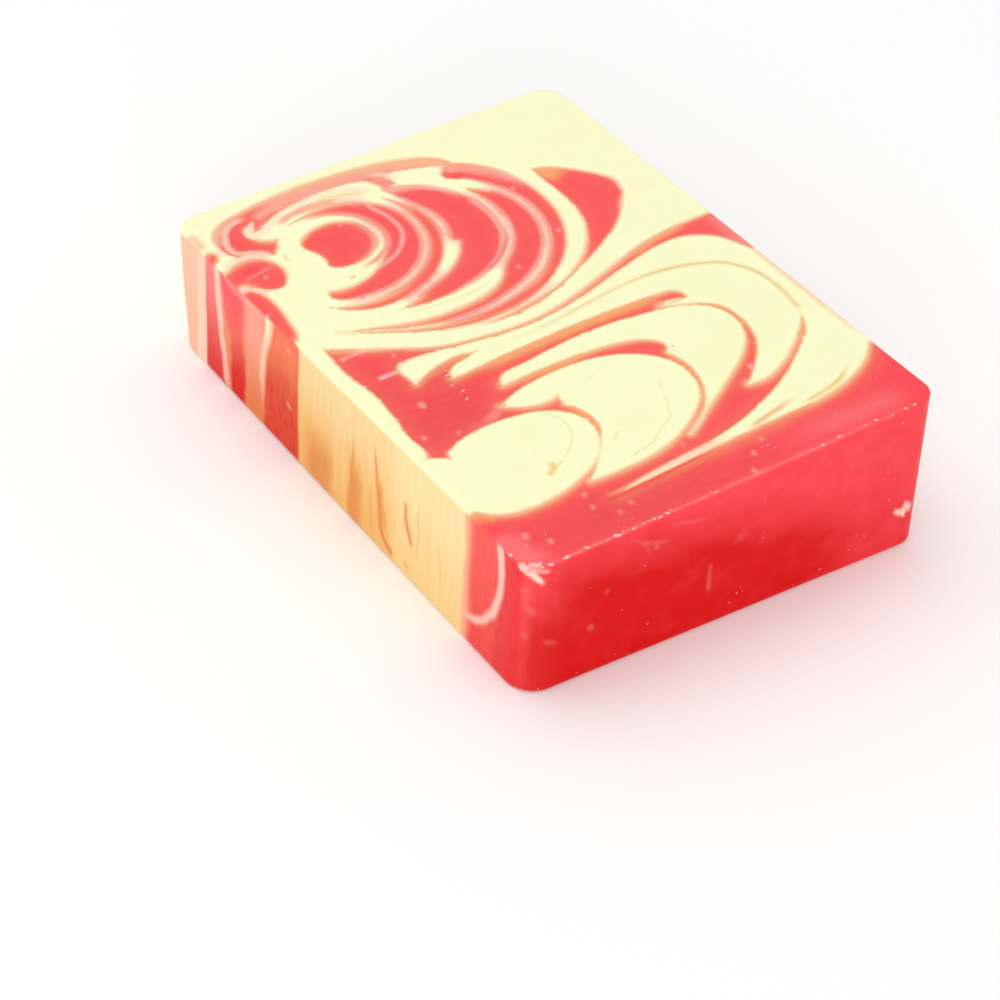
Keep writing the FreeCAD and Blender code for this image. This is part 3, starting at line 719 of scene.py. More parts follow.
# The striped front: x and height. The stripes are the swirl's layers, cut across.
FRONT_LINES = (
    ("pink", 0.7, 1.0, (0.1, 0.1), ((-36.4, 19.5), (-36.4, 12), (-36.2, 5), (-36.1, 0))),
    ("pink", 0.95, 1.5, (0.0, 0.1), ((-32.3, 20), (-32, 14.5), (-31.2, 9), (-30.2, 4),
     (-29.4, 0))),
    ("pale", 0.5, 1.2, (0.2, 0.0), ((-31.6, 12), (-30.7, 7), (-29.8, 3), (-29.2, 0))),
    ("peach", 0.6, 0.9, (0.2, 0.1), ((-23.4, 12), (-23.6, 6), (-23.4, 0))),
    ("rose", 0.5, 1.5, (0.2, 0.3), ((-31.4, 19.2), (-28, 18.4), (-24, 18.4), (-19, 19.2))),
    ("pale", 0.9, (1.7, 0.9), (0.0, 0.5), ((-17.3, 19.8), (-18.3, 16), (-19.2, 12),
     (-19.8, 6), (-20, 1))),
    ("pink", 0.5, 0.8, (0.2, 0.3), ((-18.9, 16), (-19.8, 12), (-20.4, 6))),
    ("spot", 0.7, 0.7, (0, 0), ((-13.4, 17.2), (-12.8, 17.0))),
    ("spot", 0.6, 0.8, (0, 0), ((-12.9, 8.2), (-12.3, 8.0))),
    ("pale", 0.45, 0.6, (0.2, 0.2), ((-0.7, 15), (-0.8, 8), (-0.6, 1))),
    ("pale", 0.35, 1.2, (0.2, 0.2), ((1.2, 17), (1.4, 8), (1.5, 1))),
    ("stain", 0.9, (0.3, 0.55), (0.4, 0.0), ((4.2, 16), (3.9, 12), (3.5, 8), (3.1, 4), (2.9, 1))),
    ("stain", 0.45, 1.3, (0.4, 0.0), ((4.4, 10), (4.2, 5), (4.3, 1))),
    ("stain", 0.5, 0.5, (0.4, 0.1), ((5.9, 9), (5.8, 5), (5.9, 1.5))),
    ("amber", 0.6, 0.5, (0.2, 0.3), ((6.4, 19.5), (6.6, 14), (6.8, 8))),
    ("stain", 0.3, 0.8, (0.4, 0.1), ((8.1, 9), (8.4, 5), (8.8, 1.5))),
    ("stain", 1.0, (0.35, 1.1), (0.25, 0.0), ((8.9, 17), (9.6, 12.5), (10.3, 8.5),
     (10.8, 5), (11.8, 2.8), (13.6, 1.6))),
    ("stain", 0.55, (0.8, 1.2), (0.3, 0.1), ((10.6, 12.5), (11.1, 8), (11.8, 4))),
    ("stain", 0.4, 0.6, (0.3, 0.3), ((11.9, 7), (12.3, 4.5), (13.2, 2.6))),
    ("amber", 0.7, 0.5, (0.1, 0.3), ((10.9, 19.5), (11.4, 16), (12, 12.5))),
    ("amber", 0.7, 0.7, (0.1, 0.4), ((13.1, 19.5), (13.5, 16), (14.2, 13))),
    ("stain", 0.85, (0.5, 0.8), (0.2, 0.15), ((16.9, 12.8), (16.9, 10), (17.5, 8), (18.6, 5.6))),
    ("amber", 0.8, 1.0, (0.2, 0.2), ((17.7, 12.5), (17.8, 9.5), (18.5, 7))),
    ("stain", 0.3, 0.9, (0.3, 0.3), ((16.6, 2.6), (17.6, 2), (18.6, 1.6))),
    ("tan", 0.5, 0.35, (0.4, 0.1), ((19.7, 16), (19.8, 10), (20, 4.5))),
    ("tan", 0.3, 0.35, (0.3, 0.3), ((24.7, 13), (25.0, 9), (25.6, 4))),
    ("amber", 0.6, 0.7, (0.3, 0.2), ((25.2, 11), (25.5, 7), (26, 4))),
    ("amber", 0.4, 0.8, (0.2, 0.3), ((22.6, 15), (22.4, 9), (22.6, 3))),
    ("pale", 0.5, 0.8, (0.1, 0.1), ((28.4, 20), (28.3, 10), (28.6, 1))),
    ("pink", 0.95, (1.5, 0.9), (0.0, 0.15), ((38.3, 21), (39.0, 17), (38.9, 13.5),
     (37.9, 10), (36.2, 7.3), (34.2, 5.4), (32, 4.5), (30.2, 4.1))),
    ("chalk", 0.95, 1.1, (0.1, 0.0), ((42.0, 20.4), (43.0, 19.9), (44.4, 19.1))),
    ("spot", 0.7, 0.6, (0.2, 0.2), ((42.6, 16), (43.9, 17.2))),
    ("spot", 0.4, 0.6, (0.2, 0.2), ((42.5, 15), (44, 15.8))),
)


def build_front_sheet():
    """The drawing of the striped front: x and height."""
    sheet = Sheet((LEFT - 1, -0.5), (RIGHT + 1, SHEET_TOP), SIDE_STEP)
    # pairs of amounts below make the red deeper and the cream more amber at the foot: partly
    # painted shade and warm reflected light
    # cream by the left corner, then thin peach layers
    sheet.wash([(-42.6, 0), (-42.8, 19)], [(-36.8, 0), (-37, 19)], 1.0,
               dye=(0.42, 0.35), veil=(0.15, 0.25))
    sheet.wash([(-37.8, 0), (-37.4, 19)], [(-35.4, 0), (-35.7, 19)], 0.5, dye=0.26, veil=0.6)
    sheet.wash([(-35.3, 0), (-35.4, 19)], [(-29, 0), (-32, 19)], 0.4,
               dye=(0.88, 0.95), depth=(0.75, 0.0), veil=(0, 0.22))
    # peach below and bright red above, between the two pale stripes
    sheet.wash([(-29.4, 0), (-31.2, 9), (-32.1, 19)], [(-19, 0), (-19, 19)], 0.3,
               dye=(0.78, 0.8), amber=(0.75, 0.12), tan=(0.1, 0), veil=(0.0, 0.18),
               depth=(0.5, 0))
    sheet.wash([(-28.3, 0), (-28.9, 9), (-30.3, 13), (-31.3, 19)],
               [(-25.0, 0), (-25.2, 9), (-25.0, 11), (-24.2, 19)], 0.7, dye=1.0, amber=(0.25, 0),
               depth=(0.3, 0), veil=0.03)
    # deep red low between the stripes, darker still towards the foot: partly painted shade
    deep_and_shade = ramp(sheet.u, -28.7, -27.9) * (1 - ramp(sheet.u, -25.0, -24.0))
    deep_and_shade = deep_and_shade * (1 - ramp(sheet.v, 6.5, 12.5))
    sheet.lay(deep_and_shade, dye=1.0, veil=0, amber=0.3, depth=0.68 + 0.3 * (1 - ramp(sheet.v, 2, 10)))
    # milky red between them, fading downwards
    high = ramp(sheet.v, 5, 14) * ramp(sheet.u, -26.2, -23) * (1 - ramp(sheet.u, -20.6, -18))
    sheet.lay(0.8 * high, dye=0.78, veil=0.32)
    # the wide red stripe, painted darker and more orange low down as shade and warm reflected light
    sheet.wash([(-19.5, 0), (-19.0, 12), (-17.6, 19)], [(-9.9, 0), (-10.3, 8), (-10.2, 19)], 0.2,
               dye=1.0, depth=(0.8, 0.06), amber=(0.9, 0.28), veil=0)
    painted_foot_shade = ramp(sheet.u, -19.4, -18.6) * (1 - ramp(sheet.u, -10.6, -10.1))
    painted_foot_shade = painted_foot_shade * (1 - ramp(sheet.v, 7, 18))
    sheet.lay(0.9 * painted_foot_shade, depth=0.88, amber=0.72)
    # cream painted golden as warm reflected light and shade, most at the foot, with two brown
    # patches at its foot, then paler cream
    sheet.wash([(-9.9, 0), (-10.3, 8), (-10.2, 19)], [(40, 0), (40, 19)], 0.25,
               dye=(0.26, 0.06), amber=(0.9, 0.52), veil=0, tan=(0.18, 0))
    brown = ramp(sheet.u, -10, -6) * (1 - ramp(sheet.u, -3, -0.4)) * (1 - ramp(sheet.v, 3.5, 11))
    sheet.lay(0.8 * brown, dye=0.5, amber=0.92, tan=0.34, depth=0.42)
    brown = ramp(sheet.u, 2.6, 3.6) * (1 - ramp(sheet.u, 4.6, 7)) * (1 - ramp(sheet.v, 5, 13))
    sheet.lay(0.9 * brown, dye=0.55, amber=0.92, tan=0.31, depth=0.38)
    sheet.wash([(12.5, 0), (13.5, 19)], [(40, 0), (40, 19)], 3.5, dye=(0.06, 0.0),
               amber=(0.64, 0.46), tan=(0.06, 0))
    # the red of the right end, fading in through orange
    sheet.wash([(30.6, 0), (30.5, 19)], [(60, 0), (60, 19)], 0.45, dye=0.5, amber=0, veil=0.1)
    sheet.wash([(32.2, 0), (32.0, 19)], [(60, 0), (60, 19)], 1.0, dye=(1.0, 0.95), veil=0.0,
               depth=(0.42, 0.14), amber=0.05)
    sheet.wash([(38, 0), (39, 19)], [(60, 0), (60, 19)], 0.7, dye=1.0, depth=(0.62, 0.45), amber=0)
    # upright grain that the pour left in the stained layers
    grain = waves(sheet.u * 4, sheet.v * 0.35, 1.2, 21) * ramp(sheet.v, 0, 3)
    amber = sheet.layers["amber"]
    amber += np.where(amber > 0.15, 0.07 * grain, 0)
    sheet.layers["dye"] += np.where(sheet.layers["dye"] > 0.3, 0.02 * grain, 0)
    sheet.red = ramp(sheet.layers["dye"], 0.4, 0.5)
    for line in FRONT_LINES:
        sheet.stroke(*line)
    return sheet


# The right end: y and height. Clear red soap, with painted shade that is darkest low down near the
# middle.
RIGHT_LINES = (
    ("spot", 0.4, 0.35, (0.2, 0.2), ((-3.4, 11), (-3.5, 8), (-3.3, 5.5))),
    ("spot", 0.35, 0.3, (0.3, 0.3), ((-15, 18.7), (-12.6, 17.9), (-10, 17))),
    ("spot", 0.3, 0.3, (0.3, 0.3), ((-11, 20), (-8, 19.2), (-4, 18.4))),
    ("spot", 0.25, 0.3, (0.3, 0.3), ((-17.6, 20.2), (-14.6, 18.6), (-13, 15.6))),
    ("spot", 0.3, 0.5, (0.3, 0.3), ((-26.5, 7.5), (-29, 8.6))),
    ("spot", 0.35, 1.0, (0.3, 0.3), ((-31.3, 9.4), (-30.2, 9.2))),
    ("spot", 0.3, 0.8, (0.3, 0.3), ((-31.6, 14.8), (-30.4, 13.6), (-29.6, 12.6))),
    ("spot", 0.3, 0.8, (0.3, 0.3), ((-22, 8.6), (-21.4, 7.2))),
    ("spot", 0.3, 0.7, (0.3, 0.3), ((-12.7, 17.6), (-12.2, 16.6))),
    ("spot", 0.3, 0.6, (0.3, 0.3), ((-19.8, 13.4), (-19.3, 12.4))),
    ("spot", 0.25, 0.6, (0.3, 0.3), ((12.8, 21.4), (13.2, 20.6))),
    ("dark_and_shade", 0.9, 0.5, (0.3, 0.3), ((-4, 18.6), (-3.6, 17.6))),
    ("dark_and_shade", 0.9, 0.8, (0.3, 0.3), ((0.6, 14), (1.6, 12.4))),
    ("chalk", 0.8, (0.5, 1.2), (0.1, 0.1), ((26.6, 6.9), (27.8, 6.2), (28.9, 5.9))),
    ("chalk", 0.7, (0.9, 0.5), (0.1, 0.1), ((28.2, 7.6), (29.3, 6.6), (29.5, 5.8))),
    ("chalk", 0.95, (1.1, 0.4), (0.0, 0.2), ((-31.4, 20.3), (-30.2, 19.2), (-29.0, 17.8))),
    ("chalk", 0.6, 0.5, (0.1, 0.3), ((-30.6, 20.2), (-29.4, 20.0), (-28.2, 20.0))),
)


def build_right_sheet():
    """The drawing of the right end: y and height."""
    sheet = Sheet((FRONT - 1, -0.5), (BACK + 1, SHEET_TOP), SIDE_STEP)
    # soft borders, drawn from places that sway about the true ones
    y = sheet.u + 1.6 * waves(sheet.u, sheet.v, 7, 31)
    z = sheet.v + 1.2 * waves(sheet.u, sheet.v, 6, 32)
    slope = z + 0.2 * (y + 10)
    # painted shade: the red is darker low down, most near the middle and by the front corner, and
    # lighter high up where the light comes in
    deep_and_shade = np.clip((22.0 - slope) / 9.5, 0, 1) * ramp(y, -36, -20) * (1 - 0.6 * ramp(y, 8, 26))
    deep_and_shade = deep_and_shade + 0.8 * (1 - ramp(z, 4, 20)) * (1 - ramp(y, -32, -20))
    cloud = 0.07 * waves(sheet.u, sheet.v, 2.6, 33) + 0.04 * waves(sheet.u, sheet.v, 1.1, 34)
    sheet.lay(1.0, dye=1.0, depth=np.clip(0.24 + 0.74 * deep_and_shade + cloud, 0, 1), veil=0.0)
    # a faint painted pinkish reflection on the part by the front corner
    sheet.lay(0.03 * (1 - ramp(y, -32, -24)), veil=1.0)
    sheet.red = np.ones(sheet.shape)
    for line in RIGHT_LINES:
        sheet.stroke(*line)
    return sheet


# The bar's mesh

def lattice(sheet, shape):
    """Points over the cut top, in millimetres: 0.2 apart where the drawing has an edge,
    0.4 beside it, and 0.8 where the colour is even."""
    fine = 0.2
    rows = math.ceil((BACK - FRONT) / (fine * math.sqrt(0.75)))
    columns = math.ceil((RIGHT - LEFT) / fine)
    i, j = np.meshgrid(np.arange(columns + 1), np.arange(rows + 1), indexing="ij")
    x = LEFT + (i + 0.5 * (j % 2)) * fine
    y = FRONT + j * fine * math.sqrt(0.75)
    # every second and fourth point of the same lattice makes the wider ones
    second = (j % 2 == 0) & (np.where(j % 4 == 0, i, i + 1) % 2 == 0)
    fourth = (j % 4 == 0) & (np.where(j % 8 == 0, i, i + 2) % 4 == 0)
    detail = np.zeros(sheet.shape)
    broad = np.zeros(sheet.shape)
    for layer in sheet.layers.values():
        detail = np.maximum(detail, np.abs(layer - blur(layer, 2)))
        broad = np.maximum(broad, np.abs(layer - blur(layer, 4)))
    busy = sheet.read(spread(detail, 1), x, y)
    wide = sheet.read(spread(broad, 3), x, y)
    keep = (busy > 0.045) | (second & (wide > 0.016)) | fourth
    margin = shape.skin + shape.unevenness + shape.edge_round + 0.16
    keep &= rim_distance(x, y, shape) > margin
    return np.column_stack([x[keep], y[keep]])


def triangulate(loop, inner):
    """Triangles over a closed loop of points and the loose points inside it."""
    points = [Vector(p) for p in np.vstack([loop, inner])]
    result = geometry.delaunay_2d_cdt(points, [], [list(range(len(loop)))], 1, 1e-7)
    verts, _, faces, origins = result[0], result[1], result[2], result[3]
    if len(verts) != len(points):
        raise RuntimeError("a flat mesh gained or lost points")
    order = [source[0] for source in origins]
    return [[order[v] for v in face] for face in faces]


def bar_rows(shape):
    """Sections of the side from the rim of the top down to the foot: each is how far
    in from the outline, how far along the height, and how far off that in millimetres."""
    rows = []
    for angle in (90, 60, 35, 15, 0):
        turn = math.radians(angle)
        inset = shape.edge_round * (1 - math.cos(turn))
        rows.append((inset, 1.0, -shape.edge_round * (1 - math.sin(turn))))
    count = 44
    for k in range(1, count):
        rows.append((0.0, 1 - k / count, -shape.edge_round * (1 - k / count)
                     + shape.foot_round * k / count))
    for angle in (0, 20, 42, 66, 90):
        turn = math.radians(angle)
        inset = shape.foot_round * (1 - math.cos(turn))
        rows.append((inset, 0.0, shape.foot_round * (1 - math.sin(turn))))
    return rows


def worn(x, y, z, shape):
    """Points of the outline, pushed in where the front left corner is worn away."""
    radius = shape.corner_front_left
    out = (LEFT + FRONT + 2 * radius - x - y) / math.sqrt(2)
    limit = radius - shape.wear_depth * np.clip(1 - z / shape.wear_height, 0, 1)
    # a soft minimum, which never passes either of the two
    gap = np.clip((shape.wear_round - np.abs(out - limit)) / shape.wear_round, 0, 1)
    held = np.minimum(out, limit) - gap ** 2 * shape.wear_round / 4
    push = np.where(z < shape.wear_height, out - held, 0) / math.sqrt(2)
    return x + push, y + push


def hollows(a, b, seed, shape):
    """How far the surface lies in from true, in millimetres: slow waves and small ones."""
    wave = 0.75 * waves(a, b, 9, seed) + 0.25 * waves(a, b, 2.5, seed + 1)
    return shape.unevenness * (0.5 + 0.5 * wave)


def build_bar_mesh(sheet, shape):
    """The bar's points in millimetres, its faces, and the direction that each point of
    the side faces, as x and y. The points of the side come first, row by row."""
    rim, out = rim_columns(shape)
    rows = bar_rows(shape)
    points = []
    for inset, share, offset in rows:
        height = top_height(*rim.T) * share + offset
        foot = np.column_stack(worn(*rim.T, height, shape))
        dent = hollows(rim[:, 0] + rim[:, 1], height, 51, shape) * min(1, 4 * share)
        flat = foot - out * (inset + shape.skin + dent)[:, None]
        top = top_height(*flat.T) - shape.skin - hollows(*flat.T, 53, shape)
        points.append(np.column_stack([flat, top * share + offset]))
    count = len(rim)
    faces = []
    for r in range(len(rows) - 1):
        a = r * count
        b = a + count
        for k in range(count):
            n = (k + 1) % count
            faces.append((a + k, b + k, b + n, a + n))
    side = count * len(rows)
    inner = lattice(sheet, shape)
    height = top_height(*inner.T) - shape.skin - hollows(*inner.T, 53, shape)
    points.append(np.column_stack([inner, height]))
    for face in triangulate(points[0][:, :2], inner):
        faces.append([v if v < count else v - count + side for v in face])
    # a few loose points under the foot keep its triangles well shaped
    across = np.meshgrid(np.arange(LEFT + 4, RIGHT - 3, 4), np.arange(FRONT + 4, BACK - 3, 4))
    under = np.column_stack([axis.ravel() for axis in across])
    base = side + len(inner)
    points.append(np.column_stack([under, np.zeros(len(under))]))
    last = (len(rows) - 1) * count
    for face in triangulate(points[len(rows) - 1][:, :2], under):
        faces.append([v + last if v < count else v - count + base for v in reversed(face)])
    normals = np.tile(out, (len(rows), 1))
    return np.vstack(points), faces, normals


def colour_bar(points, normals, top, front, right):
    """Reads the three drawings onto the bar's points: for each layer a value for every
    point."""
    x, y, z = points.T
    side = len(normals)
    # the side reads the cut top a little way in, where the drawing is whole, and its
    # layers sway on their way down
    nx, ny = normals.T
    inward = 0.35
    sway = 1.2 * waves(x + y, z * 0.6, 5, 41)[:side] * ramp(20 - z[:side], 0, 14)
    ix = x.copy()
    iy = y.copy()
    ix[:side] += -nx * inward - ny * sway
    iy[:side] += -ny * inward + nx * sway
    values = {name: top.read(top.layers[name], ix, iy) for name in LAYERS}
    # how far a point belongs to the drawing of the front, and to that of the right end
    below = np.zeros(len(points))
    below[:side] = ramp(top_height(x[:side], y[:side]) - z[:side], 0.25, 0.6)
    to_front = np.zeros(len(points))
    to_front[:side] = ramp(-ny, 0.05, 0.4) * (1 - ramp(nx, 0.35, 0.85))
    to_right = np.zeros(len(points))
    to_right[:side] = ramp(nx, 0.35, 0.85)
    wobble = 0.18 * waves(x, z, 2.2, 43)
    for name, value in values.items():
        value += below * to_front * (front.read(front.layers[name], x + wobble, z) - value)
        value += below * to_right * (right.read(right.layers[name], y, z) - value)
    # the two sides that are not drawn get painted shade and warm reflected light: cream is warmer
    # than on the cut top, and red deeper towards the foot
    plain = below * (1 - to_front) * (1 - to_right)
    values["amber"] += 0.38 * plain * (1 - values["dye"])
    values["depth"] += 0.5 * plain * values["dye"] * (1 - ramp(z, 0, 18))
    return values


def put(name, data):
    """Adds an object to the scene."""
    thing = bpy.data.objects.new(name, data)
    bpy.context.scene.collection.objects.link(thing)
    return thing


# Materials

def add(tree, kind, links=(), **settings):
    """Adds a node. links pairs an input with a socket that feeds it; a setting whose name
    begins with in_ is the value of an input, by its name or number."""
    node = tree.nodes.new(kind)
    for name, value in settings.items():
        if name.startswith("in_"):
            key = name[3:]
            node.inputs[int(key) if key.isdigit() else key.replace("_", " ")].default_value = value
        else:
            setattr(node, name, value)
    for key, socket in links:
        tree.links.new(socket, node.inputs[key])
    return node


def new_material(name, **values):
    """A material, its node tree and its shader, with plain values on the shader's inputs."""
    material = bpy.data.materials.new(name)
    material.use_nodes = True
    shader = material.node_tree.nodes["Principled BSDF"]
    for key, value in values.items():
        shader.inputs[key.replace("_", " ")].default_value = value
    return material, material.node_tree, shader


def soap_material(colours):
    """Melt-and-pour glycerine soap, cast in a block and cut by hand.

    The cream soap is opaque and waxy, the red one clear: light goes in, spreads and
    comes back warm, which softens every edge between them. The cut leaves a satin
    face with fine wire marks.
    """
    material, tree, shader = new_material(
        "cast_glycerine_soap", IOR=1.46, Specular_IOR_Level=0.12, Subsurface_Weight=0.6,
        Subsurface_Radius=(1.0, 0.35, 0.28), Subsurface_Scale=0.8 * MM)
    layer = {name: add(tree, "ShaderNodeAttribute", attribute_name=name).outputs["Fac"]
             for name in LAYERS}
    steps = add(tree, "ShaderNodeValToRGB", [("Fac", layer["dye"])])
    stops = steps.color_ramp.elements
    stops[0].position = 0.0
    stops[0].color = (*colours.cream, 1)
    stops[1].position = 1.0
    stops[1].color = (*colours.red, 1)
    for position, colour in ((0.36, colours.peach), (0.68, colours.coral)):
        stop = stops.new(position)
        stop.color = (*colour, 1)
    colour = steps.outputs["Color"]
    place = add(tree, "ShaderNodeTexCoord").outputs["Object"]
    # the wire pulled fine streaks through the clear soap
    pulled = add(tree, "ShaderNodeMapping", [("Vector", place)], in_Rotation=(0, 0, 0.5),
                 in_Scale=(1 / (0.5 * MM), 1 / (3.5 * MM), 1 / (2.5 * MM)))
    streak = add(tree, "ShaderNodeTexNoise", [("Vector", pulled.outputs[0])], in_Scale=1.0,
                 in_Detail=3.0)
    swing = add(tree, "ShaderNodeMapRange", [("Value", streak.outputs["Fac"])],
                in_From_Min=0.3, in_From_Max=0.7, in_To_Min=-0.07, in_To_Max=0.09)
    pull = add(tree, "ShaderNodeMath", [(0, swing.outputs[0]), (1, layer["dye"])],
               operation="MULTIPLY")
    layer["depth"] = add(tree, "ShaderNodeMath", [(0, layer["depth"]), (1, pull.outputs[0])],
                         operation="ADD", use_clamp=True).outputs[0]
    # the amber, depth and veil layers also carry painted warm light, shade and pinkish reflection
    # inputs 6 and 7 of a mix of colours are its two colours
    for name, target in (("amber", colours.amber), ("tan", colours.tan),
                         ("depth", colours.deep_and_shade), ("veil", colours.milk)):
        mixed = add(tree, "ShaderNodeMix", data_type="RGBA", in_7=(*target, 1))
        tree.links.new(layer[name], mixed.inputs[0])
        tree.links.new(colour, mixed.inputs[6])
        colour = mixed.outputs[2]
    tree.links.new(colour, shader.inputs["Base Color"])
    # wire marks and grain of the cut face
    coarse = add(tree, "ShaderNodeTexNoise", [("Vector", place)], in_Scale=1 / (1.6 * MM),
                 in_Detail=3.0)
    fine = add(tree, "ShaderNodeTexNoise", [("Vector", place)], in_Scale=1 / (0.35 * MM),
               in_Detail=2.0)
    relief = add(tree, "ShaderNodeMath", [(0, coarse.outputs["Fac"])], operation="MULTIPLY_ADD",
                 in_1=0.7)
    tree.links.new(fine.outputs["Fac"], relief.inputs[2])
    bump = add(tree, "ShaderNodeBump", [("Height", relief.outputs[0])], in_Strength=0.25,
               in_Distance=0.03 * MM)
    tree.links.new(bump.outputs["Normal"], shader.inputs["Normal"])
    rough = add(tree, "ShaderNodeMapRange", [("Value", coarse.outputs["Fac"])],
                in_From_Min=0.3, in_From_Max=0.7, in_To_Min=0.34, in_To_Max=0.48)
    tree.links.new(rough.outputs[0], shader.inputs["Roughness"])
    return material


def flake_material(name, colour, spread_colour, roughness):
    """Crumbs and bubbles: cream soap rubbed thin over the red, so a chalky pink."""
    material, tree, shader = new_material(name, Roughness=roughness, IOR=1.46,
                                          Specular_IOR_Level=0.25)
    place = add(tree, "ShaderNodeTexCoord").outputs["Object"]
    grain = add(tree, "ShaderNodeTexNoise", [("Vector", place)], in_Scale=1 / (1.1 * MM),
                in_Detail=2.0)
    mixed = add(tree, "ShaderNodeMix", data_type="RGBA", in_6=(*colour, 1),
                in_7=(*spread_colour, 1))
    tree.links.new(grain.outputs["Fac"], mixed.inputs[0])
    tree.links.new(mixed.outputs[2], shader.inputs["Base Color"])
    return material


# Geometry trees

def geometry_tree(name, inputs):
    """A geometry tree with named inputs. Gives the tree, its input and its output node."""
    tree = bpy.data.node_groups.new(name, "GeometryNodeTree")
    tree.interface.new_socket("Geometry", in_out="INPUT", socket_type="NodeSocketGeometry")
    for label, kind, value in inputs:
        socket = tree.interface.new_socket(label, in_out="INPUT", socket_type=kind)
        if value is not None:
            socket.default_value = value
    tree.interface.new_socket("Geometry", in_out="OUTPUT", socket_type="NodeSocketGeometry")
    return tree, add(tree, "NodeGroupInput"), add(tree, "NodeGroupOutput")


def flakes_on(tree, start, points, size, turn):
    """Sets a small flattened grain on every point, roughens it and colours it."""
    grain = add(tree, "GeometryNodeMeshIcoSphere", in_Radius=1.0, in_Subdivisions=1)
    shape = add(tree, "ShaderNodeCombineXYZ", [("Y", start.outputs["Length"]),
                ("Z", start.outputs["Flatness"])], in_X=1.0)
    scale = add(tree, "ShaderNodeVectorMath", [(0, shape.outputs[0])], operation="SCALE")
    tree.links.new(size, scale.inputs["Scale"])
    put = add(tree, "GeometryNodeInstanceOnPoints", [("Points", points), ("Rotation", turn),
              ("Instance", grain.outputs["Mesh"]), ("Scale", scale.outputs[0])])
    real = add(tree, "GeometryNodeRealizeInstances", [("Geometry", put.outputs[0])])
    noise = add(tree, "ShaderNodeTexNoise", in_Scale=1 / (0.5 * MM), in_Detail=0.0)
    shift = add(tree, "ShaderNodeVectorMath", [(0, noise.outputs["Color"])],
                operation="SUBTRACT", in_1=(0.5, 0.5, 0.5))
    rough = add(tree, "ShaderNodeVectorMath", [(0, shift.outputs[0]),
                ("Scale", start.outputs["Raggedness"])], operation="SCALE")
    moved = add(tree, "GeometryNodeSetPosition", [("Geometry", real.outputs[0]),
                ("Offset", rough.outputs[0])])
    return add(tree, "GeometryNodeSetMaterial", [("Geometry", moved.outputs[0]),
               ("Material", start.outputs["Material"])])


# What both trees ask for, in metres where it is a length.
FLAKE_INPUTS = [
    ("Smallest", "NodeSocketFloat", 0.00008), ("Largest", "NodeSocketFloat", 0.0002),
    ("Length", "NodeSocketFloat", 1.0), ("Flatness", "NodeSocketFloat", 0.4),
    ("Raggedness", "NodeSocketFloat", 0.00005),
    ("Seed", "NodeSocketInt", 1), ("Material", "NodeSocketMaterial", None),
]


def scatter_tree():
    """Grains scattered over the thick red of a mesh, lying flat on it."""
    tree, start, end = geometry_tree("grains_over_red", [
        ("Density", "NodeSocketFloat", 20000.0), ("Thick red", "NodeSocketFloat", 0.9),
        *FLAKE_INPUTS])
    dye = add(tree, "GeometryNodeInputNamedAttribute", data_type="FLOAT", in_Name="dye")
    thick = add(tree, "FunctionNodeCompare", [(0, dye.outputs[0]), (1, start.outputs["Thick red"])],
                data_type="FLOAT", operation="GREATER_THAN")
    spots = add(tree, "GeometryNodeDistributePointsOnFaces", [("Mesh", start.outputs["Geometry"]),
                ("Selection", thick.outputs[0]), ("Density", start.outputs["Density"]),
                ("Seed", start.outputs["Seed"])], distribute_method="RANDOM")
    # inputs 2 and 3 are the least and the greatest value of a plain number
    size = add(tree, "FunctionNodeRandomValue", [(2, start.outputs["Smallest"]),
               (3, start.outputs["Largest"]), ("Seed", start.outputs["Seed"])],
               data_type="FLOAT")
    done = flakes_on(tree, start, spots.outputs["Points"], size.outputs[1],
                     spots.outputs["Rotation"])
    tree.links.new(done.outputs[0], end.inputs[0])
    return tree


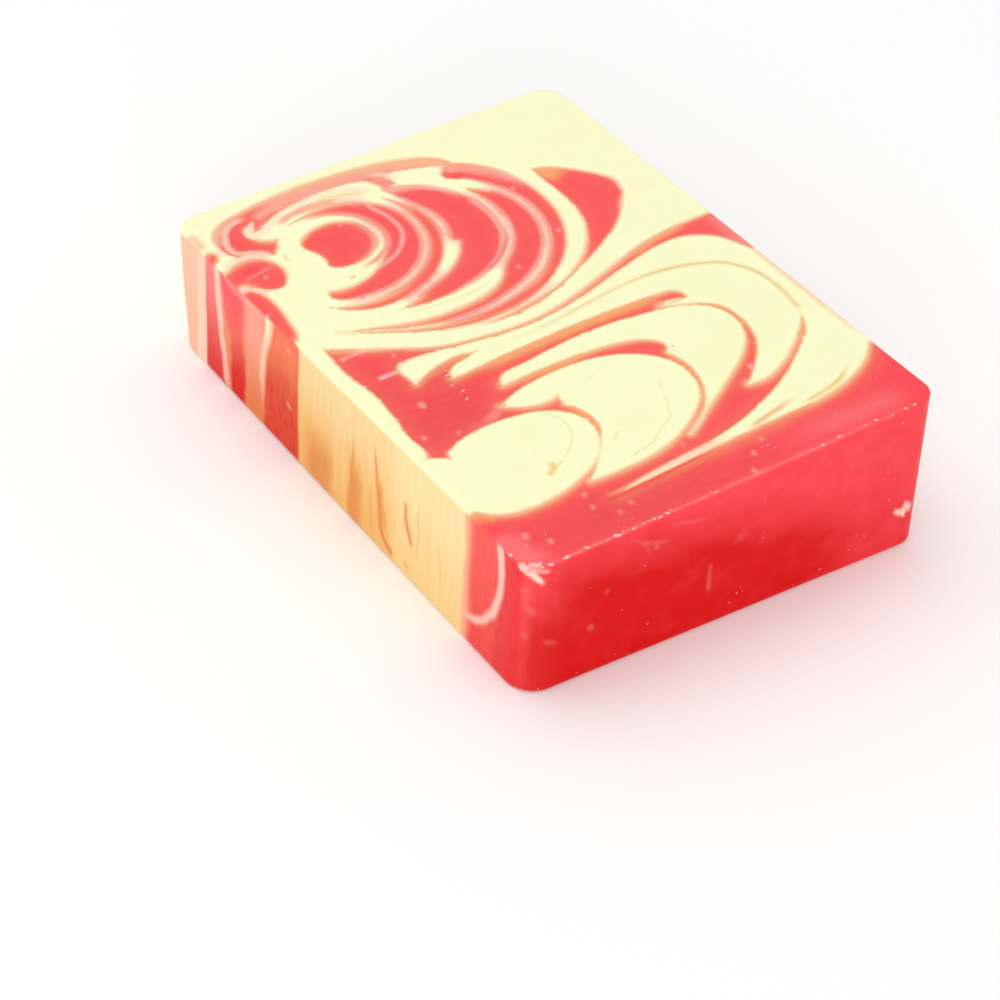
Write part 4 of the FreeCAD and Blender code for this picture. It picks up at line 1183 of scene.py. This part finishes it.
def edge_tree():
    """Crumbs in a broken row along an edge, and single ones at loose points, whose
    attribute "size" is theirs."""
    tree, start, end = geometry_tree("crumbs_on_edge", [
        ("Count", "NodeSocketInt", 70), ("Straying", "NodeSocketFloat", 0.0001), *FLAKE_INPUTS])
    path = add(tree, "GeometryNodeMeshToCurve", [("Mesh", start.outputs["Geometry"])])
    row = add(tree, "GeometryNodeCurveToPoints", [("Curve", path.outputs[0]),
              ("Count", start.outputs["Count"])], mode="COUNT")
    chance = add(tree, "FunctionNodeRandomValue", [("Seed", start.outputs["Seed"])],
                 data_type="FLOAT")
    often = add(tree, "ShaderNodeMath", [(0, chance.outputs[1])], operation="POWER", in_1=3.0)
    size = add(tree, "ShaderNodeMapRange", [("Value", often.outputs[0]),
               ("To Min", start.outputs["Smallest"]), ("To Max", start.outputs["Largest"])])
    sized = add(tree, "GeometryNodeStoreNamedAttribute", [("Geometry", row.outputs["Points"]),
                ("Value", size.outputs[0])], data_type="FLOAT", domain="POINT", in_Name="size")
    stray = add(tree, "FunctionNodeRandomValue", [("Seed", start.outputs["Seed"])],
                data_type="FLOAT_VECTOR", in_0=(-1, -1, -1), in_1=(1, 1, 1))
    offset = add(tree, "ShaderNodeVectorMath", [(0, stray.outputs[0]),
                 ("Scale", start.outputs["Straying"])], operation="SCALE")
    strayed = add(tree, "GeometryNodeSetPosition", [("Geometry", sized.outputs[0]),
                  ("Offset", offset.outputs[0])])
    own = add(tree, "GeometryNodeInputNamedAttribute", data_type="FLOAT", in_Name="size")
    single = add(tree, "FunctionNodeCompare", [(0, own.outputs[0])], data_type="FLOAT",
                 operation="GREATER_THAN", in_1=0.0)
    loose = add(tree, "GeometryNodeMeshToPoints", [("Mesh", start.outputs["Geometry"]),
                ("Selection", single.outputs[0])])
    both = add(tree, "GeometryNodeJoinGeometry")
    tree.links.new(strayed.outputs[0], both.inputs[0])
    tree.links.new(loose.outputs[0], both.inputs[0])
    turn = add(tree, "FunctionNodeRandomValue", [("Seed", start.outputs["Seed"])],
               data_type="FLOAT_VECTOR", in_0=(-0.4, -0.4, -0.4), in_1=(0.4, 0.4, 0.4))
    done = flakes_on(tree, start, both.outputs[0], own.outputs[0], turn.outputs[0])
    tree.links.new(done.outputs[0], end.inputs[0])
    return tree


def grow(name, base, tree, values):
    """Runs a geometry tree on a base mesh and keeps the result as a plain piece."""
    host = put(name + "_base", base)
    modifier = host.modifiers.new("grow", "NODES")
    modifier.node_group = tree
    for socket in tree.interface.items_tree:
        if socket.in_out == "INPUT" and socket.name in values:
            modifier[socket.identifier] = values[socket.name]
    host.update_tag()
    ready = host.evaluated_get(bpy.context.evaluated_depsgraph_get())
    mesh = bpy.data.meshes.new_from_object(ready)
    bpy.data.objects.remove(host)
    if not mesh.vertices:
        raise RuntimeError(name + " came out empty")
    mesh.name = name
    mesh.shade_smooth()
    return put(name, mesh)


# Crumbs that lie by themselves: x, y, depth below the cut top's plane, and size.
CRUMBS = (
    (43.6, -30.2, 0.3, 0.42), (43.2, -30.6, 0.6, 0.38), (44.0, -29.8, 0.25, 0.34),
    (43.8, -30.0, 0.9, 0.30), (42.7, -31.0, 0.4, 0.28), (44.3, -29.2, 0.5, 0.26),
    (43.4, -30.45, 1.2, 0.24), (40.6, -31.35, 0.3, 0.30), (39.9, -31.4, 0.5, 0.22),
    (44.75, -28.4, 0.3, 0.24), (44.72, -26.2, 0.3, 0.22), (44.74, -18.4, 0.35, 0.30),
    (44.7, -18.9, 0.2, 0.20), (44.73, -16.3, 0.3, 0.26), (44.76, -13.2, 0.25, 0.18),
    (44.74, 28.2, 17.6, 0.34), (44.74, 27.6, 17.4, 0.26), (44.72, 28.8, 17.9, 0.24),
    (44.74, 28.6, 16.9, 0.20), (44.76, 27.9, 18.2, 0.16),
    (5.2, -18.4, 0.02, 0.16), (6.1, -18.7, 0.02, 0.20), (6.8, -19.1, 0.02, 0.14),
    (8.2, -19.4, 0.02, 0.18), (10.0, -18.8, 0.02, 0.15), (11.7, -19.3, 0.02, 0.20),
    (11.4, -14.3, 0.02, 0.17), (15.4, -16.2, 0.02, 0.22), (20.4, 8.0, 0.02, 0.14),
    (24.2, 7.9, 0.02, 0.16), (24.8, 7.8, 0.02, 0.13), (26.8, 14.8, 0.02, 0.22),
    (22.8, 18.4, 0.02, 0.16), (30.6, 4.4, 0.02, 0.18), (17.4, 9.0, 0.02, 0.14),
)


# Operators

class SOAP_OT_flecks(Operator):
    """Scatters small pale bubbles over the clear red soap"""

    bl_idname = "soap.flecks"
    bl_label = "Flecks"

    def execute(self, context):
        bar = bpy.data.objects.get("soap_bar")
        if bar is None:
            self.report({"ERROR"}, "the flecks lie on the soap bar, which isn't built")
            return {"CANCELLED"}
        detail = context.scene.soap_detail
        material = flake_material("soap_bubbles", linear("#F98A86"), linear("#FFC4BC"), 0.35)
        piece = grow("soap_flecks", bar.data.copy(), scatter_tree(), {
            "Density": detail.fleck_density / (MM * MM), "Thick red": 0.93,
            "Smallest": detail.fleck_small * MM, "Largest": detail.fleck_large * MM,
            "Flatness": 0.3, "Raggedness": 0.02 * MM, "Seed": detail.seed, "Material": material})
        keep_inside(piece)
        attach(piece, "root")
        return {"FINISHED"}


class SOAP_OT_crumbs(Operator):
    """Sets the crumbs that the cut left along the right top edge and at the corners"""

    bl_idname = "soap.crumbs"
    bl_label = "Crumbs"

    def execute(self, context):
        detail = context.scene.soap_detail
        # a path along the edge, whose points are no crumbs, and then the single crumbs
        path = [(RIGHT - 0.3, -28.5), (RIGHT - 0.28, -10), (RIGHT - 0.28, 8), (RIGHT - 0.3, 28)]
        points = [(x, y, top_height(x, y) - 0.22) for x, y in path]
        links = [(k, k + 1) for k in range(len(path) - 1)]
        sizes = [0.0] * len(points)
        for x, y, depth, size in CRUMBS:
            points.append((x, y, top_height(x, y) - depth - 0.04))
            sizes.append(size * MM)
        base = bpy.data.meshes.new("crumb_points")
        base.from_pydata((np.array(points) * MM).tolist(), links, [])
        base.attributes.new("size", "FLOAT", "POINT").data.foreach_set("value", sizes)
        material = flake_material("soap_crumbs", linear("#FFD2CA"), linear("#FA9A92"), 0.7)
        piece = grow("soap_crumbs", base, edge_tree(), {
            "Count": detail.crumb_count, "Straying": 0.12 * MM,
            "Smallest": detail.crumb_small * MM, "Largest": detail.crumb_large * MM,
            "Length": 2.0, "Flatness": 0.7, "Raggedness": 0.12 * MM,
            "Seed": detail.seed, "Material": material})
        keep_inside(piece)
        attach(piece, "root")
        return {"FINISHED"}


def keep_inside(piece):
    """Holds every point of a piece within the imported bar's box."""
    margin = Vector((1, 1, 1)) * 0.01 * MM
    low = CAD_LOW + margin
    high = CAD_HIGH - margin
    for vertex in piece.data.vertices:
        vertex.co = [min(max(value, a), b) for value, a, b in zip(vertex.co, low, high)]


class SOAP_OT_bar(Operator):
    """Builds the bar of marbled soap"""

    bl_idname = "soap.bar"
    bl_label = "Soap bar"

    def execute(self, context):
        scene = context.scene
        shape = scene.soap_shape
        top = build_top_sheet()
        points, faces, normals = build_bar_mesh(top, shape)
        values = colour_bar(points, normals, top, build_front_sheet(), build_right_sheet())
        mesh = bpy.data.meshes.new("soap_bar")
        mesh.from_pydata((points * MM).tolist(), [], faces)
        mesh.shade_smooth()
        mesh.materials.append(soap_material(scene.soap_colours))
        for name in LAYERS:
            attribute = mesh.attributes.new(name, "FLOAT", "POINT")
            attribute.data.foreach_set("value", values[name].astype(np.float32))
        piece = put("soap_bar", mesh)
        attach(piece, "root")
        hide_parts("cream_soap", "red_soap")
        return {"FINISHED"}


class SOAP_OT_stage(Operator):
    """Adds the floor, the lamps and the camera"""

    bl_idname = "soap.stage"
    bl_label = "Stage"

    def execute(self, context):
        scene = context.scene
        stage = scene.soap_stage
        reach = 3.0
        corners = [(-reach, -reach, 0), (reach, -reach, 0), (reach, reach, 0), (-reach, reach, 0)]
        mesh = bpy.data.meshes.new("floor")
        mesh.from_pydata(corners, [], [(0, 1, 2, 3)])
        mesh.materials.append(new_material("matt_white_floor", Base_Color=(*stage.floor, 1),
                                           Roughness=0.9, Specular_IOR_Level=0.1)[0])
        floor = put("floor", mesh)
        add_lamp("key_lamp", (-0.25, -0.15, 0.75), 0.7, stage.key)
        add_lamp("fill_lamp", (0.85, -0.55, 0.35), 0.6, stage.fill)
        world = bpy.data.worlds.new("studio")
        scene.world = world
        world.use_nodes = True
        tree = world.node_tree
        background = tree.nodes["Background"]
        background.inputs["Color"].default_value = (1, 1, 1, 1)
        background.inputs["Strength"].default_value = stage.sky
        # the camera sees plain white behind the bar
        seen = add(tree, "ShaderNodeLightPath")
        white = add(tree, "ShaderNodeBackground", in_Strength=1.0)
        white.inputs["Color"].default_value = (1, 1, 1, 1)
        pick = add(tree, "ShaderNodeMixShader", [("Fac", seen.outputs["Is Camera Ray"])])
        tree.links.new(background.outputs[0], pick.inputs[1])
        tree.links.new(white.outputs[0], pick.inputs[2])
        tree.links.new(pick.outputs[0], tree.nodes["World Output"].inputs["Surface"])
        add_camera()
        scene.view_settings.view_transform = "Standard"
        return {"FINISHED"}


def add_lamp(name, place, size, power):
    """A large soft square lamp that faces the bar."""
    data = bpy.data.lights.new(name, "AREA")
    data.size = size
    data.energy = power
    lamp = put(name, data)
    lamp.location = place
    lamp.rotation_euler = (-Vector(place)).to_track_quat("-Z", "Y").to_euler()


def add_camera():
    """The camera stands to the right of the bar's front and looks down on it. Its place,
    lens and turn were worked out from the bar's own edges in the photo."""
    place = (0.2913, -0.2101, 0.2784)
    picture_right = Vector((0.5457, 0.8369, 0.0441)).normalized()
    backwards = Vector((0.6355, -0.4475, 0.6292)).normalized()
    picture_up = backwards.cross(picture_right).normalized()
    turn = Matrix((picture_right, picture_up, backwards)).transposed()
    data = bpy.data.cameras.new("camera")
    data.lens = 118.8
    camera = put("camera", data)
    camera.matrix_world = Matrix.Translation(place) @ turn.to_4x4()
    data.clip_start = 0.01
    data.clip_end = 20
    bpy.context.scene.camera = camera


class SOAP_PT_panel(Panel):
    """Settings and steps of the soap bar"""

    bl_label = "Soap bar"
    bl_idname = "SOAP_PT_panel"
    bl_space_type = "VIEW_3D"
    bl_region_type = "UI"
    bl_category = "Soap"

    def draw(self, context):
        for setting in GROUPS:
            group = getattr(context.scene, setting)
            box = self.layout.box()
            for name in group.__annotations__:
                box.prop(group, name)
        for step in STEPS:
            self.layout.operator(step.bl_idname)


GROUPS = {"soap_shape": SoapShape, "soap_colours": SoapColours, "soap_detail": SoapDetail,
          "soap_stage": SoapStage}
STEPS = (SOAP_OT_bar, SOAP_OT_flecks, SOAP_OT_crumbs, SOAP_OT_stage)
CLASSES = (*GROUPS.values(), *STEPS, SOAP_PT_panel)


def register():
    """Adds the settings, the steps and the panel to Blender."""
    for each in CLASSES:
        bpy.utils.register_class(each)
    for name, group in GROUPS.items():
        setattr(bpy.types.Scene, name, PointerProperty(type=group))


def unregister():
    """Takes them out again."""
    for name in GROUPS:
        delattr(bpy.types.Scene, name)
    for each in reversed(CLASSES):
        bpy.utils.unregister_class(each)


def main():
    """Builds the bar and its stage."""
    register()
    bpy.ops.soap.bar()
    bpy.ops.soap.flecks()
    bpy.ops.soap.crumbs()
    bpy.ops.soap.stage()


if __name__ == "__main__":
    main()
